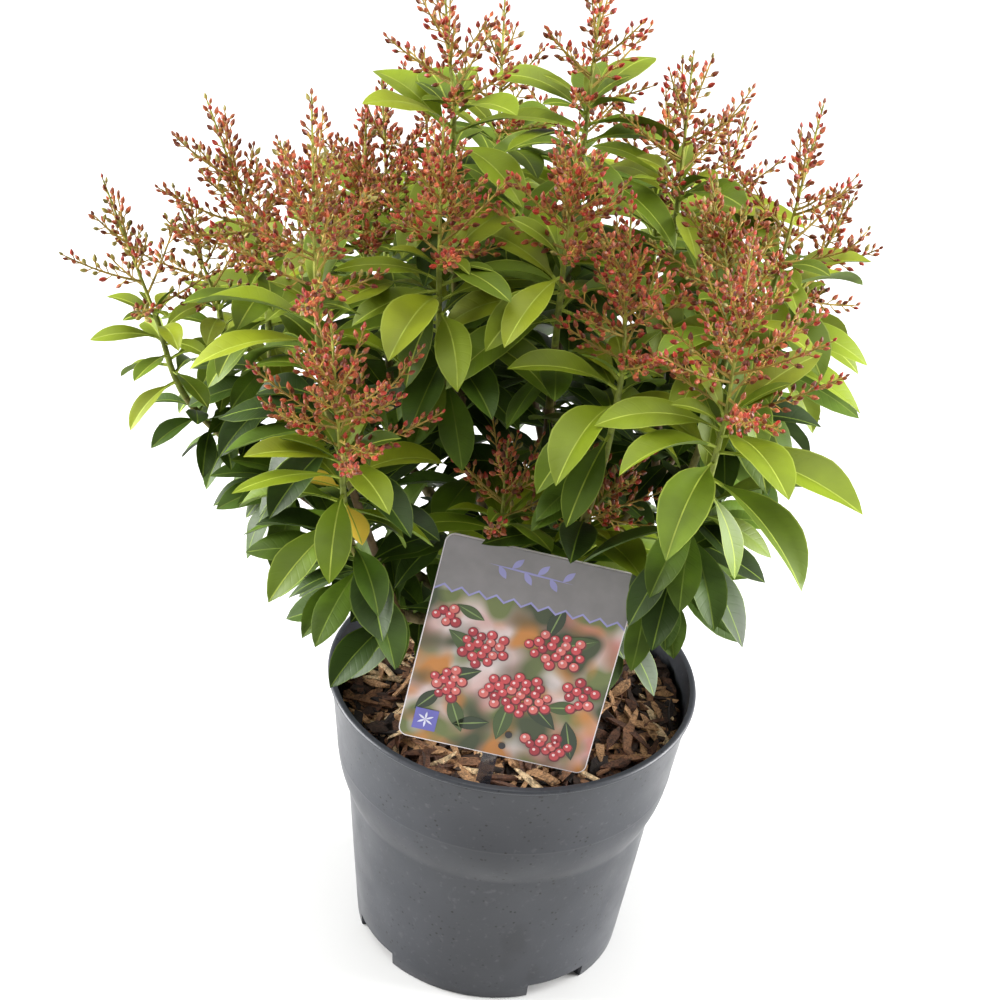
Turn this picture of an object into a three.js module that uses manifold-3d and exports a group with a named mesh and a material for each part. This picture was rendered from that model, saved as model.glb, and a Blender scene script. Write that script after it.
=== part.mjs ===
// A young pieris in a round nursery pot, with its bark mulch and its plant label.
// Units are millimetres, +Z is up, and the origin is under the pot, on the pot's axis.
import * as THREE from "three";
import { mergeVertices } from "three/addons/utils/BufferGeometryUtils.js";
import Module from "manifold-3d";

// Pot: a tapered body with a wider collar at the top, moulded in thin plastic.
const POT_HEIGHT = 135;
const POT_FOOT_RADIUS = 59;
const POT_BODY_RADIUS = 67;
const POT_BODY_TOP = 74;
const POT_COLLAR_RADIUS = 73;
const POT_COLLAR_FOOT = 95.5;
const POT_RIM_RADIUS = 77.8;
const POT_LIP = 1.4;
const POT_WALL = 1.6;
const POT_FLOOR = 2;
const POT_SIDES = 32;
const DRAIN_SLOTS = 4;
const DRAIN_FIRST_DEG = 34;
const DRAIN_WIDTH_DEG = 26;
const DRAIN_HEIGHT = 5.5;

// Mulch: fills the pot to a little under the rim, flat round the stem.
const MULCH_TOP = 124;
const MULCH_RELIEF = 2.4;
const MULCH_FLAT_RADIUS = 22;
const MULCH_SIDES = 24;

// Label: a printed plastic card on a stake, leaning back and tilted in its own plane.
const LABEL_WIDTH = 78;
const LABEL_HEIGHT = 92;
const LABEL_THICKNESS = 0.8;
const LABEL_CORNER = 4;
const LABEL_FOOT = new THREE.Vector3(-7, -64, 141);
const LABEL_LEAN_BACK_DEG = 10;
const LABEL_TILT_DEG = 8;
const STAKE_WIDTH = 7;
const STAKE_THICKNESS = 1.6;
const STAKE_LENGTH = 46;
const STAKE_UP_THE_CARD = 16;

// Trunk: short, flared at the mulch and hidden by the foliage above it.
const TRUNK_RADIUS = 8;
const TRUNK_FLARE = 13;
const TRUNK_TOP = 163;
const TRUNK_LEAN = 3;
const TRUNK_SIDES = 8;

// Boughs, stems and twigs taper from foot to tip.
const BOUGH_FOOT_RADIUS = 3.3;
const BOUGH_TIP_RADIUS = 2.3;
const BOUGH_SIDES = 5;
const STEM_FOOT_RADIUS = 2.6;
const STEM_TOP_RADIUS = 1.9;
const STEM_STEPS = 4;
const BRANCH_STEP = 0.25;
const TWIG_SIDES = 3;
const GAP = 0.3;
const WELDS = [0.002, 0.003, 0.005, 0.008, 0.012, 0.02, 0.03, 0.04];
const ROUNDING = 1e4;

const TRUNK_FOOT = new THREE.Vector3(0, 0, MULCH_TOP + GAP);
const TRUNK_HEAD = new THREE.Vector3(TRUNK_LEAN, -TRUNK_LEAN, TRUNK_TOP);

// Leaves sit in a spiral: a bright cluster under each flower head and a dark whorl on last year's wood.
const GOLDEN_ANGLE_DEG = 137.5;
const YOUNG_LEAVES = { count: 8, length: 50, width: 22, below: 4, run: 26, rise: 44, sink: 58, droop: 54 };
const OLD_LEAVES = { count: 6, length: 48, width: 25, below: 44, run: 18, rise: 18, sink: 34, droop: 40 };
const LEAF_THICKNESS = 1.3;
const LEAF_FOLD = 0.22;
const LEAF_WIDEST_AT = 0.5;
const LEAF_SINK = 0.7;
const LEAF_OUTER_PART = 0.3;
const LEAF_TRIES = 7;

// Flower heads: an upright raceme with others spreading round its lower half, all set with buds.
const SIDE_RACEMES = 6;
const BUD_BEADS = [1, 4.2, 2.8];
const RACEME_OUTER_PART = 0.25;
const RACEME_TRIES = 4;

// Each mass grows from the tip of one bough. A place is (azimuth in degrees, distance out, height).
// A shoot's place is where its flower head starts, or its top if it has none. Its head is
// (length, spread, lean outwards, sway in degrees), and its size scales its leaves.
const MASSES = {
  far_left: {
    fork: [177, 78, 200],
    shoots: [
      { place: [180, 156, 295], head: [58, 42, 20], size: 0.55 },
      { place: [170, 136, 288], head: [50, 32, 22], size: 0.6 },
      { place: [184, 112, 325], head: [70, 42, 20], size: 0.8 },
      { place: [192, 92, 238], size: 0.75 },
    ],
  },
  front_left: {
    fork: [221, 64, 190],
    shoots: [
      { place: [226, 107, 285], head: [62, 46, 8] },
      { place: [213, 105, 338], head: [82, 42, 4] },
    ],
  },
  top_left: {
    fork: [172, 28, 240],
    shoots: [
      { place: [165, 47, 388], head: [48, 32, 9] },
      { place: [215, 55, 345], head: [60, 36, 3] },
      { place: [176, 76, 330], head: [54, 34, 2] },
    ],
  },
  top_centre: {
    fork: [0, 3, 240],
    shoots: [
      { place: [77, 23, 390], head: [52, 24, 2] },
      { place: [272, 32, 352], head: [54, 32, -2] },
    ],
  },
  right_upper: {
    fork: [8, 45, 225],
    shoots: [
      { place: [353, 84, 346], head: [68, 34, 5] },
      { place: [16, 45, 364], head: [54, 38, -2] },
    ],
  },
  front_right: {
    fork: [318, 57, 195],
    shoots: [
      { place: [309, 102, 318], head: [74, 46, 0], size: 1.12 },
      { place: [328, 78, 340], head: [54, 34, -20], size: 1.1 },
    ],
  },
  front_centre: {
    fork: [288, 32, 185],
    shoots: [
      { place: [297, 59, 318], head: [68, 38, -8] },
      { place: [253, 41, 239], head: [38, 24, 4] },
      { place: [296, 44, 238], head: [42, 25, 10, 25] },
    ],
  },
  back_left: {
    fork: [137, 65, 200],
    shoots: [
      { place: [145, 126, 280], head: [54, 38, 14] },
      { place: [118, 118, 306], head: [60, 40, 14] },
      { place: [144, 86, 324], head: [54, 34, 8] },
      { place: [146, 100, 240] },
    ],
  },
  back_centre: {
    fork: [87, 42, 215],
    shoots: [
      { place: [86, 110, 316], head: [60, 40, 14] },
      { place: [115, 66, 356], head: [56, 30, 6] },
      { place: [80, 98, 238] },
    ],
  },
  back_right: {
    fork: [42, 62, 205],
    shoots: [
      { place: [53, 108, 306], head: [56, 36, 13] },
      { place: [22, 106, 306], head: [48, 36, 22], size: 0.7 },
      { place: [55, 68, 334], head: [52, 32, 5] },
      { place: [28, 96, 240] },
    ],
  },
};

const COLOURS = {
  pot: 0x5c6066,
  mulch: 0x4a3424,
  label: 0xb9a3a8,
  trunk: 0x6b5137,
  bough: 0x7a6a45,
  mass: 0x5f8a24,
};

const UP = new THREE.Vector3(0, 0, 1);
const rad = THREE.MathUtils.degToRad;
const wasm = await Module();
wasm.setup();

// Seeded random numbers from 0 to 1 (mulberry32).
function randomFrom(seed) {
  let state = seed >>> 0;
  return () => {
    state = (state + 0x6d2b79f5) >>> 0;
    let t = state;
    t = Math.imul(t ^ (t >>> 15), t | 1);
    t ^= t + Math.imul(t ^ (t >>> 7), t | 61);
    return ((t ^ (t >>> 14)) >>> 0) / 4294967296;
  };
}

function polar([azimuth, out, height]) {
  const a = rad(azimuth);
  return new THREE.Vector3(out * Math.cos(a), out * Math.sin(a), height);
}

function solidOf(geometry, weld = 1e-4) {
  const bare = geometry.clone();
  bare.deleteAttribute("normal");
  bare.deleteAttribute("uv");
  const merged = mergeVertices(bare, weld);
  return new wasm.Manifold(
    new wasm.Mesh({
      numProp: 3,
      vertProperties: merged.attributes.position.array,
      triVerts: new Uint32Array(merged.index.array),
    }),
  );
}

function geometryOf(solid) {
  const mesh = solid.getMesh();
  return new THREE.BufferGeometry()
    .setAttribute("position", new THREE.BufferAttribute(mesh.vertProperties, 3))
    .setIndex(new THREE.BufferAttribute(mesh.triVerts, 1));
}

// Whether every edge has exactly two faces once the points are rounded as a file would hold them.
function isClosed(solid) {
  const mesh = solid.getMesh();
  const names = Array.from({ length: mesh.numVert }, (_, i) =>
    Array.from(mesh.vertProperties.subarray(3 * i, 3 * i + 3), (v) => Math.round(v * ROUNDING)).join(),
  );
  const faces = new Map();
  for (let i = 0; i < mesh.triVerts.length; i += 3) {
    const corners = [0, 1, 2].map((j) => names[mesh.triVerts[i + j]]);
    if (new Set(corners).size === 3) {
      corners.forEach((corner, j) => {
        const edge = [corner, corners[(j + 1) % 3]].sort().join(":");
        faces.set(edge, (faces.get(edge) ?? 0) + 1);
      });
    }
  }
  return [...faces.values()].every((count) => count === 2);
}

// The largest connected piece of a solid, so that scraps and sealed hollows are dropped. Its closest points
// are welded, a little more at each try, until no two edges fall together.
function wholePiece(solid) {
  const geometry = geometryOf(solid);
  for (const weld of WELDS) {
    const pieces = solidOf(geometry, weld).decompose();
    const piece = pieces.reduce((best, other) => (other.volume() > best.volume() ? other : best));
    if (isClosed(piece)) return piece;
  }
  throw new Error("no weld leaves this solid closed");
}

// A closed skin over rings of points, each anticlockwise about the way it travels. The last may be a point.
function loft(rings) {
  const points = rings.flat();
  const sides = rings[0].length;
  const index = [];
  const start = (i) => i * sides;
  rings.slice(0, -1).forEach((ring, i) => {
    const next = rings[i + 1];
    for (let j = 0; j < sides; j += 1) {
      const k = (j + 1) % sides;
      if (next.length === 1) {
        index.push(start(i) + j, start(i) + k, start(i + 1));
      } else {
        index.push(start(i) + j, start(i) + k, start(i + 1) + k);
        index.push(start(i) + j, start(i + 1) + k, start(i + 1) + j);
      }
    }
  });
  const last = start(rings.length - 1);
  for (let j = 1; j < sides - 1; j += 1) {
    index.push(0, j + 1, j);
    if (rings.at(-1).length > 1) index.push(last, last + j, last + j + 1);
  }
  const geometry = new THREE.BufferGeometry().setFromPoints(points);
  geometry.setIndex(index);
  return solidOf(geometry);
}

// Two directions square to a given one, in right-handed order with it.
function squareTo(direction) {
  const guide = Math.abs(direction.z) < 0.9 ? UP : new THREE.Vector3(1, 0, 0);
  const side = new THREE.Vector3().crossVectors(guide, direction).normalize();
  return [side, new THREE.Vector3().crossVectors(direction, side)];
}

// A tapered limb through a row of centre points, one radius for each. A last radius of 0 ends it in a point.
function limb(centres, radii, sides, turn = 0) {
  let [side] = squareTo(centres[1].clone().sub(centres[0]).normalize());
  const rings = centres.map((centre, i) => {
    if (radii[i] === 0) return [centre];
    const before = centres[Math.max(0, i - 1)];
    const after = centres[Math.min(centres.length - 1, i + 1)];
    const way = after.clone().sub(before).normalize();
    side = side.clone().addScaledVector(way, -side.dot(way)).normalize();
    const across = new THREE.Vector3().crossVectors(way, side);
    return Array.from({ length: sides }, (_, j) => {
      const angle = (2 * Math.PI * j) / sides + turn * i;
      const offset = side.clone().multiplyScalar(Math.cos(angle)).addScaledVector(across, Math.sin(angle));
      return centre.clone().addScaledVector(offset, radii[i]);
    });
  });
  return loft(rings);
}

// Radii that taper evenly over a number of centre points.
function taper(count, foot, tip) {
  return Array.from({ length: count }, (_, i) => foot + ((tip - foot) * i) / (count - 1));
}

// The point at a distance below the end of a row of centre points, with the direction there.
function pointBelow(centres, distance) {
  let left = distance;
  for (let i = centres.length - 1; i > 0; i -= 1) {
    const way = centres[i].clone().sub(centres[i - 1]);
    const length = way.length();
    if (left <= length || i === 1) {
      const share = Math.min(left / length, 0.92);
      return { point: centres[i].clone().addScaledVector(way, -share), way: way.normalize() };
    }
    left -= length;
  }
  return null;
}

// Solids that later leaves and racemes keep clear of, each whole and as its outer part alone. A shoot's own
// stem never blocks it, and within one mass, where all is fused, only the outer parts have to be free.
class Clearance {
  constructor() {
    this.kept = [];
  }

  add(whole, outer = whole, mass = null, shoot = null) {
    const { min, max } = whole.boundingBox();
    this.kept.push({ whole, outer, mass, shoot, min, max });
  }

  isFree(whole, outer, mass, shoot) {
    const { min, max } = whole.boundingBox();
    const near = (other) => [0, 1, 2].every((i) => min[i] < other.max[i] && max[i] > other.min[i]);
    const common = (other) => {
      const sameMass = other.mass === mass;
      return sameMass ? outer.intersect(other.outer) : whole.intersect(other.whole);
    };
    const isOwnStem = (other) => other.shoot !== null && other.shoot === shoot;
    return !this.kept.some((other) => !isOwnStem(other) && near(other) && common(other).volume() > 0);
  }
}

function potProfile() {
  const outer = [
    [0, 0],
    [POT_FOOT_RADIUS, 0],
    [POT_BODY_RADIUS, POT_BODY_TOP],
    [POT_BODY_RADIUS + 2.4, POT_BODY_TOP + 6.5],
    [POT_COLLAR_RADIUS - 1.5, POT_COLLAR_FOOT - 7.5],
    [POT_COLLAR_RADIUS, POT_COLLAR_FOOT],
    [POT_RIM_RADIUS, POT_HEIGHT - 3],
    [POT_RIM_RADIUS + POT_LIP, POT_HEIGHT - 2],
    [POT_RIM_RADIUS + POT_LIP, POT_HEIGHT - 0.5],
    [POT_RIM_RADIUS, POT_HEIGHT],
  ];
  const inner = [
    [POT_RIM_RADIUS - POT_WALL, POT_HEIGHT],
    [POT_COLLAR_RADIUS - POT_WALL, POT_COLLAR_FOOT],
    [POT_BODY_RADIUS - POT_WALL, POT_BODY_TOP],
    [POT_FOOT_RADIUS - POT_WALL, POT_FLOOR],
    [0, POT_FLOOR],
  ];
  return [...outer, ...inner, outer[0]].map(([r, z]) => new THREE.Vector2(r, z));
}

// A wedge that opens one slot in the foot of the wall.
function drainWedge(azimuth) {
  const shape = new THREE.Shape();
  const half = rad(DRAIN_WIDTH_DEG / 2);
  const inner = POT_FOOT_RADIUS - 9;
  const outer = POT_FOOT_RADIUS + 9;
  shape.moveTo(inner * Math.cos(-half), inner * Math.sin(-half));
  shape.lineTo(outer * Math.cos(-half), outer * Math.sin(-half));
  shape.lineTo(outer * Math.cos(half), outer * Math.sin(half));
  shape.lineTo(inner * Math.cos(half), inner * Math.sin(half));
  shape.closePath();
  const wedge = new THREE.ExtrudeGeometry(shape, { depth: DRAIN_HEIGHT + 1, bevelEnabled: false });
  return solidOf(wedge.translate(0, 0, -1).rotateZ(rad(azimuth)));
}

function makePot() {
  let pot = solidOf(new THREE.LatheGeometry(potProfile(), POT_SIDES).rotateX(Math.PI / 2));
  for (let i = 0; i < DRAIN_SLOTS; i += 1) {
    pot = pot.subtract(drainWedge(DRAIN_FIRST_DEG + (360 * i) / DRAIN_SLOTS));
  }
  return pot;
}

// The filling: the pot's inside less a small gap, with an uneven top of settled bark.
function makeMulch(stake) {
  const random = randomFrom(5);
  const inside = POT_FLOOR + GAP;
  const bodyInside = POT_BODY_RADIUS - inside;
  const rise = (MULCH_TOP - POT_COLLAR_FOOT) / (POT_HEIGHT - POT_COLLAR_FOOT);
  const topRadius = POT_COLLAR_RADIUS - inside + (POT_RIM_RADIUS - POT_COLLAR_RADIUS) * rise - 0.4;
  const walls = [
    [POT_FOOT_RADIUS - inside - 3.5, inside],
    [POT_FOOT_RADIUS - inside, inside + 6],
    [bodyInside, POT_BODY_TOP - 1],
    [POT_COLLAR_RADIUS - inside - 0.5, POT_COLLAR_FOOT],
  ];
  const tops = [topRadius, topRadius * 0.8, topRadius * 0.55, MULCH_FLAT_RADIUS];
  const ring = (radius, heightAt) =>
    Array.from({ length: MULCH_SIDES }, (_, j) => {
      const a = (2 * Math.PI * j) / MULCH_SIDES;
      return new THREE.Vector3(radius * Math.cos(a), radius * Math.sin(a), heightAt(j));
    });
  const rings = walls.map(([radius, z]) => ring(radius, () => z));
  tops.forEach((radius) => {
    const relief = radius > MULCH_FLAT_RADIUS ? MULCH_RELIEF : 0;
    rings.push(ring(radius, () => MULCH_TOP - relief * random()));
  });
  rings.push([new THREE.Vector3(0, 0, MULCH_TOP)]);
  return loft(rings).subtract(stake);
}

// The card, in its own plane: X across, Y up, its foot in the middle of the lower edge.
function cardShape() {
  const shape = new THREE.Shape();
  const half = LABEL_WIDTH / 2;
  const c = LABEL_CORNER;
  shape.moveTo(-half + c, 0);
  shape.lineTo(half - c, 0);
  shape.absarc(half - c, c, c, -Math.PI / 2, 0);
  shape.absarc(half - c, LABEL_HEIGHT - c, c, 0, Math.PI / 2);
  shape.absarc(-half + c, LABEL_HEIGHT - c, c, Math.PI / 2, Math.PI);
  shape.absarc(-half + c, c, c, Math.PI, (3 * Math.PI) / 2);
  return shape;
}

// The stake is a point-ended strip behind the card. Grown, it leaves its slot in the mulch.
function stakeShape(grow) {
  const shape = new THREE.Shape();
  const half = STAKE_WIDTH / 2 + grow;
  const foot = STAKE_UP_THE_CARD - STAKE_LENGTH;
  shape.moveTo(-half, STAKE_UP_THE_CARD);
  shape.lineTo(-half, foot + STAKE_WIDTH);
  shape.lineTo(0, foot - grow);
  shape.lineTo(half, foot + STAKE_WIDTH);
  shape.lineTo(half, STAKE_UP_THE_CARD);
  return shape;
}

function placeLabel(geometry) {
  return geometry
    .rotateX(Math.PI / 2)
    .rotateY(rad(LABEL_TILT_DEG))
    .rotateX(rad(-LABEL_LEAN_BACK_DEG))
    .translate(LABEL_FOOT.x, LABEL_FOOT.y, LABEL_FOOT.z);
}

function makeStake(grow) {
  const depth = STAKE_THICKNESS + 2 * grow;
  const strip = new THREE.ExtrudeGeometry(stakeShape(grow), { depth, bevelEnabled: false });
  return solidOf(placeLabel(strip.translate(0, 0, -STAKE_THICKNESS - grow)));
}

function makeLabel() {
  const options = { depth: LABEL_THICKNESS, bevelEnabled: false, curveSegments: 3 };
  const card = new THREE.ExtrudeGeometry(cardShape(), options).translate(0, 0, -LABEL_THICKNESS / 2);
  return solidOf(placeLabel(card)).add(makeStake(0));
}

// The trunk stands on the mulch on a flat cut, with its root flare, and ends at the fork.
function makeTrunk(grow = 0) {
  const heights = [-0.1, 0.06, 0.18, 0.4, 1];
  const centres = heights.map((t) => TRUNK_FOOT.clone().lerp(TRUNK_HEAD, t));
  const flare = (t) => (TRUNK_FLARE - TRUNK_RADIUS) * Math.max(0, 1 - t / 0.4) ** 2;
  const radii = heights.map((t) => TRUNK_RADIUS * (1 - 0.2 * t) + flare(t) + grow);
  const ground = new THREE.BoxGeometry(60, 60, 20).translate(0, 0, TRUNK_FOOT.z - 10);
  return limb(centres, radii, TRUNK_SIDES).subtract(solidOf(ground));
}

// Outer boughs leave the trunk low and in turn at two heights. Inner ones rise from its top.
function boughCentres(mass, number) {
  const tip = polar(mass.fork);
  const inner = mass.fork[1] < 35;
  const height = inner ? 0.86 : 0.28 + 0.24 * (number % 2);
  const foot = TRUNK_FOOT.clone().lerp(TRUNK_HEAD, height);
  const bend = foot.clone().lerp(tip, 0.45);
  bend.z += inner ? 0 : 0.07 * foot.distanceTo(tip);
  return [foot, bend, tip];
}

function makeBough(centres, grow = 0) {
  const radii = taper(centres.length, BOUGH_FOOT_RADIUS + grow, BOUGH_TIP_RADIUS + grow);
  return limb(centres, radii, BOUGH_SIDES);
}

// A shoot's stem runs from where it starts, through the whorl on older wood, up to its flower head.
function stemCentres(start, shoot) {
  const top = polar(shoot.place);
  const reach = start.distanceTo(top);
  const drop = Math.min(OLD_LEAVES.below, 0.62 * reach) * (shoot.head ? 1 : 0.5);
  const down = start.clone().sub(top).multiplyScalar(0.5 / reach).addScaledVector(UP, -0.5).normalize();
  const whorl = top.clone().addScaledVector(down, drop);
  return new THREE.CatmullRomCurve3([start, whorl, top]).getPoints(STEM_STEPS);
}

function headEnds(shoot) {
  const [length, , lean, sway = 0] = shoot.head;
  const foot = polar(shoot.place);
  const azimuth = rad(shoot.place[0]);
  const out = new THREE.Vector3(Math.cos(azimuth), Math.sin(azimuth), 0);
  const side = new THREE.Vector3(-out.y, out.x, 0);
  const way = UP.clone().addScaledVector(out, Math.tan(rad(lean))).addScaledVector(side, Math.tan(rad(sway)));
  const tip = foot.clone().addScaledVector(way.normalize(), length);
  return [foot, tip];
}

// One raceme: a thin axis set with buds, drawn as beads turned against each other.
function makeRaceme(foot, tip, scale, grow = 0, from = 0) {
  const steps = BUD_BEADS.length;
  const start = foot.clone().lerp(tip, from);
  const end = tip.clone().addScaledVector(tip.clone().sub(foot).normalize(), grow);
  const centres = Array.from({ length: steps + 1 }, (_, i) => start.clone().lerp(end, i / steps));
  const radii = [...BUD_BEADS.map((bead) => bead * scale + grow), 0];
  return limb(centres, radii, TWIG_SIDES, Math.PI / 3);
}

// Side racemes leave the head's axis in a spiral, the lower ones longer and more spreading.
function sideRaceme([headFoot, headTip], spread, number, random, attempt) {
  const share = number / (SIDE_RACEMES - 1);
  const axis = headTip.clone().sub(headFoot).normalize();
  const foot = headFoot.clone().lerp(headTip, 0.03 + 0.5 * share);
  const [side, across] = squareTo(axis);
  const angle = rad(GOLDEN_ANGLE_DEG * number + 30 * (random() - 0.5) + 19 * attempt);
  const out = side.multiplyScalar(Math.cos(angle)).addScaledVector(across, Math.sin(angle));
  const open = rad(62 - 30 * share + 8 * (random() - 0.5) - 7 * attempt);
  const length = spread * (1.12 - 0.42 * share) * (0.88 + 0.24 * random());
  const way = axis.multiplyScalar(Math.cos(open)).addScaledVector(out, Math.sin(open));
  return [foot, foot.clone().addScaledVector(way, length)];
}

// A leaf is a folded blade from a point sunk in its stem to its tip: it leaves rising and arches over.
function makeLeaf(leaf) {
  const out = new THREE.Vector3(leaf.out.x, leaf.out.y, 0).normalize();
  const level = new THREE.Vector3(-out.y, out.x, 0);
  const reach = (length, angle) =>
    out.clone().multiplyScalar(length * Math.cos(angle)).addScaledVector(UP, length * Math.sin(angle));
  const inner = leaf.length * LEAF_WIDEST_AT;
  const innerAngle = leaf.rise - leaf.droop * LEAF_WIDEST_AT * 0.5;
  const outerAngle = leaf.rise - leaf.droop * (1 + LEAF_WIDEST_AT) * 0.5;
  const root = leaf.root.clone().sub(reach(LEAF_SINK, leaf.rise));
  const middle = leaf.root.clone().add(reach(inner, innerAngle));
  const tip = middle.clone().add(reach(leaf.length - inner, outerAngle));
  const along = tip.clone().sub(root).normalize();
  const side = level.applyAxisAngle(along, leaf.roll);
  const normal = new THREE.Vector3().crossVectors(along, side);
  const fold = (leaf.width * LEAF_FOLD) / 2;
  const off = (across, up) => middle.clone().addScaledVector(side, across).addScaledVector(normal, up);
  const edge = (sign) => off((sign * leaf.width) / 2, fold);
  const face = (sign) => off(0, (sign * LEAF_THICKNESS) / 2);
  return new THREE.BufferGeometry()
    .setFromPoints([root, edge(1), face(1), edge(-1), face(-1), tip])
    .setIndex([0, 2, 1, 0, 3, 2, 0, 4, 3, 0, 1, 4, 5, 1, 2, 5, 2, 3, 5, 3, 4, 5, 4, 1]);
}

// The room a leaf needs: its own outline grown by the gap, starting part of the way out from its root.
function leafRoom(geometry, from) {
  const room = geometry.clone();
  const at = room.attributes.position;
  const points = Array.from({ length: 6 }, (_, i) => new THREE.Vector3().fromBufferAttribute(at, i));
  const [root, left, top, right, under, tip] = points;
  root.lerp(top, from);
  const sideways = left.clone().sub(right).normalize();
  const outwards = top.clone().sub(under).normalize();
  left.addScaledVector(sideways, GAP);
  right.addScaledVector(sideways, -GAP);
  top.addScaledVector(outwards, GAP + 0.1);
  under.addScaledVector(outwards, -GAP - 0.1);
  tip.addScaledVector(tip.clone().sub(top).normalize(), GAP);
  points.forEach((point, i) => at.setXYZ(i, point.x, point.y, point.z));
  return solidOf(room);
}

// Leaf number n of a cluster, in a spiral down the stem. Each new try turns and lowers it a little.
function leafOf({ stem, shoot }, kind, number, below, random, attempt) {
  const share = number / (kind.count - 1);
  const { point, way } = pointBelow(stem, below + kind.run * share);
  const [side, across] = squareTo(way);
  const angle = rad(GOLDEN_ANGLE_DEG * number + 24 * (random() - 0.5) + 17 * attempt);
  const out = side.multiplyScalar(Math.cos(angle)).addScaledVector(across, Math.sin(angle));
  const lift = Math.asin(THREE.MathUtils.clamp(out.z, -1, 1)) * 0.6;
  const size = (shoot.size ?? 1) * (0.84 + 0.28 * random()) * (1 - 0.05 * attempt);
  return {
    root: point,
    out,
    rise: rad(kind.rise - kind.sink * share + 14 * (random() - 0.5) - 5 * attempt) + lift,
    droop: rad(kind.droop * (0.7 + 0.6 * random())),
    roll: rad(36 * (random() - 0.5)),
    length: kind.length * size,
    width: kind.width * size * (0.9 + 0.2 * random()),
  };
}

// Fuses a cluster of leaves to a stem. A leaf that finds no free room is left out.
function addLeaves(parts, clearance, each, kind, below) {
  for (let number = 0; number < kind.count; number += 1) {
    for (let attempt = 0; attempt < LEAF_TRIES; attempt += 1) {
      const blade = makeLeaf(leafOf(each, kind, number, below, randomFrom(each.seed + 97 * number), attempt));
      const whole = leafRoom(blade, 0);
      const outer = leafRoom(blade, LEAF_OUTER_PART);
      if (clearance.isFree(whole, outer, each.mass, each.shoot)) {
        parts.push(solidOf(blade));
        clearance.add(whole, outer, each.mass);
        break;
      }
    }
  }
}

// Fuses a flower head to a stem: the middle raceme always, each side raceme where it finds free room.
function addHead(parts, clearance, { mass, shoot, seed }) {
  const head = headEnds(shoot);
  const spread = shoot.head[1];
  const scale = 0.8 + (0.2 * spread) / 40;
  parts.push(makeRaceme(...head, scale));
  const headRoom = makeRaceme(...head, scale, GAP);
  clearance.add(headRoom, headRoom, mass, shoot);
  for (let number = 0; number < SIDE_RACEMES; number += 1) {
    for (let attempt = 0; attempt < RACEME_TRIES; attempt += 1) {
      const ends = sideRaceme(head, spread, number, randomFrom(seed + 31 * number), attempt);
      const whole = makeRaceme(...ends, scale, GAP);
      const outer = makeRaceme(...ends, scale, GAP, RACEME_OUTER_PART);
      if (clearance.isFree(whole, outer, mass, shoot)) {
        parts.push(makeRaceme(...ends, scale));
        clearance.add(whole, outer, mass);
        break;
      }
    }
  }
}

function makeStem(centres, grow = 0) {
  return limb(centres, taper(centres.length, STEM_FOOT_RADIUS + grow, STEM_TOP_RADIUS + grow), TWIG_SIDES);
}

// The first shoot carries on from the bough. The others branch from its stem a little higher.
function stemsOf(mass) {
  const first = stemCentres(polar(mass.fork), mass.shoots[0]);
  const branchPoint = (i) => first[0].clone().lerp(first[1], BRANCH_STEP * i);
  return mass.shoots.map((shoot, i) => (i === 0 ? first : stemCentres(branchPoint(i), shoot)));
}

function named(name, solid, colour, roughness = 0.7) {
  const material = new THREE.MeshStandardMaterial({ color: colour, roughness, metalness: 0 });
  const mesh = new THREE.Mesh(geometryOf(solid), material);
  mesh.name = name;
  return mesh;
}

function makePlant() {
  const plant = new THREE.Group();
  const clearance = new Clearance();
  const pot = makePot();
  const label = makeLabel();
  const mulch = makeMulch(makeStake(GAP));
  const trunk = makeTrunk();
  plant.add(named("pot", pot, COLOURS.pot, 0.5));
  plant.add(named("mulch", mulch, COLOURS.mulch, 0.95));
  plant.add(named("label", label, COLOURS.label, 0.3));
  plant.add(named("trunk", trunk, COLOURS.trunk, 0.9));
  [pot, label, mulch, trunk].forEach((solid) => clearance.add(solid));

  const masses = Object.entries(MASSES);
  const grownTrunk = makeTrunk(GAP);
  const boughs = masses.map(([, mass], i) => boughCentres(mass, i));
  const grownBoughs = boughs.map((centres) => makeBough(centres, GAP));
  boughs.forEach((centres, i) => {
    const clear = [grownTrunk, ...grownBoughs.slice(0, i)];
    const bough = wholePiece(makeBough(centres).subtract(wasm.Manifold.union(clear)));
    plant.add(named(`bough_${masses[i][0]}`, bough, COLOURS.bough, 0.85));
    clearance.add(grownBoughs[i]);
  });

  const parts = masses.map(() => []);
  const shoots = masses.flatMap(([, mass], m) => {
    const stems = stemsOf(mass);
    const seed = (s) => 1000 * (m + 1) + 200 * s;
    return mass.shoots.map((shoot, s) => ({ mass: m, shoot, stem: stems[s], seed: seed(s) }));
  });
  const flowering = shoots.filter(({ shoot }) => shoot.head);
  shoots.forEach(({ mass, shoot, stem }) => {
    parts[mass].push(makeStem(stem));
    const room = makeStem(stem, GAP);
    clearance.add(room, room, mass, shoot);
  });
  flowering.forEach((each) => addHead(parts[each.mass], clearance, each));
  flowering.forEach((each) => addLeaves(parts[each.mass], clearance, each, YOUNG_LEAVES, YOUNG_LEAVES.below));
  shoots.forEach((each) => {
    const below = each.shoot.head ? OLD_LEAVES.below : 2;
    addLeaves(parts[each.mass], clearance, { ...each, seed: each.seed + 11 }, OLD_LEAVES, below);
  });
  masses.forEach(([name], m) => {
    const solid = wholePiece(wasm.Manifold.union(parts[m]).subtract(grownBoughs[m]));
    plant.add(named(`mass_${name}`, solid, COLOURS.mass, 0.5));
  });
  return plant;
}

export default makePlant();
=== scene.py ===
import math

import bmesh
import bpy
import numpy as np
from mathutils import Matrix, Vector, noise
from mathutils.bvhtree import BVHTree


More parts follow.
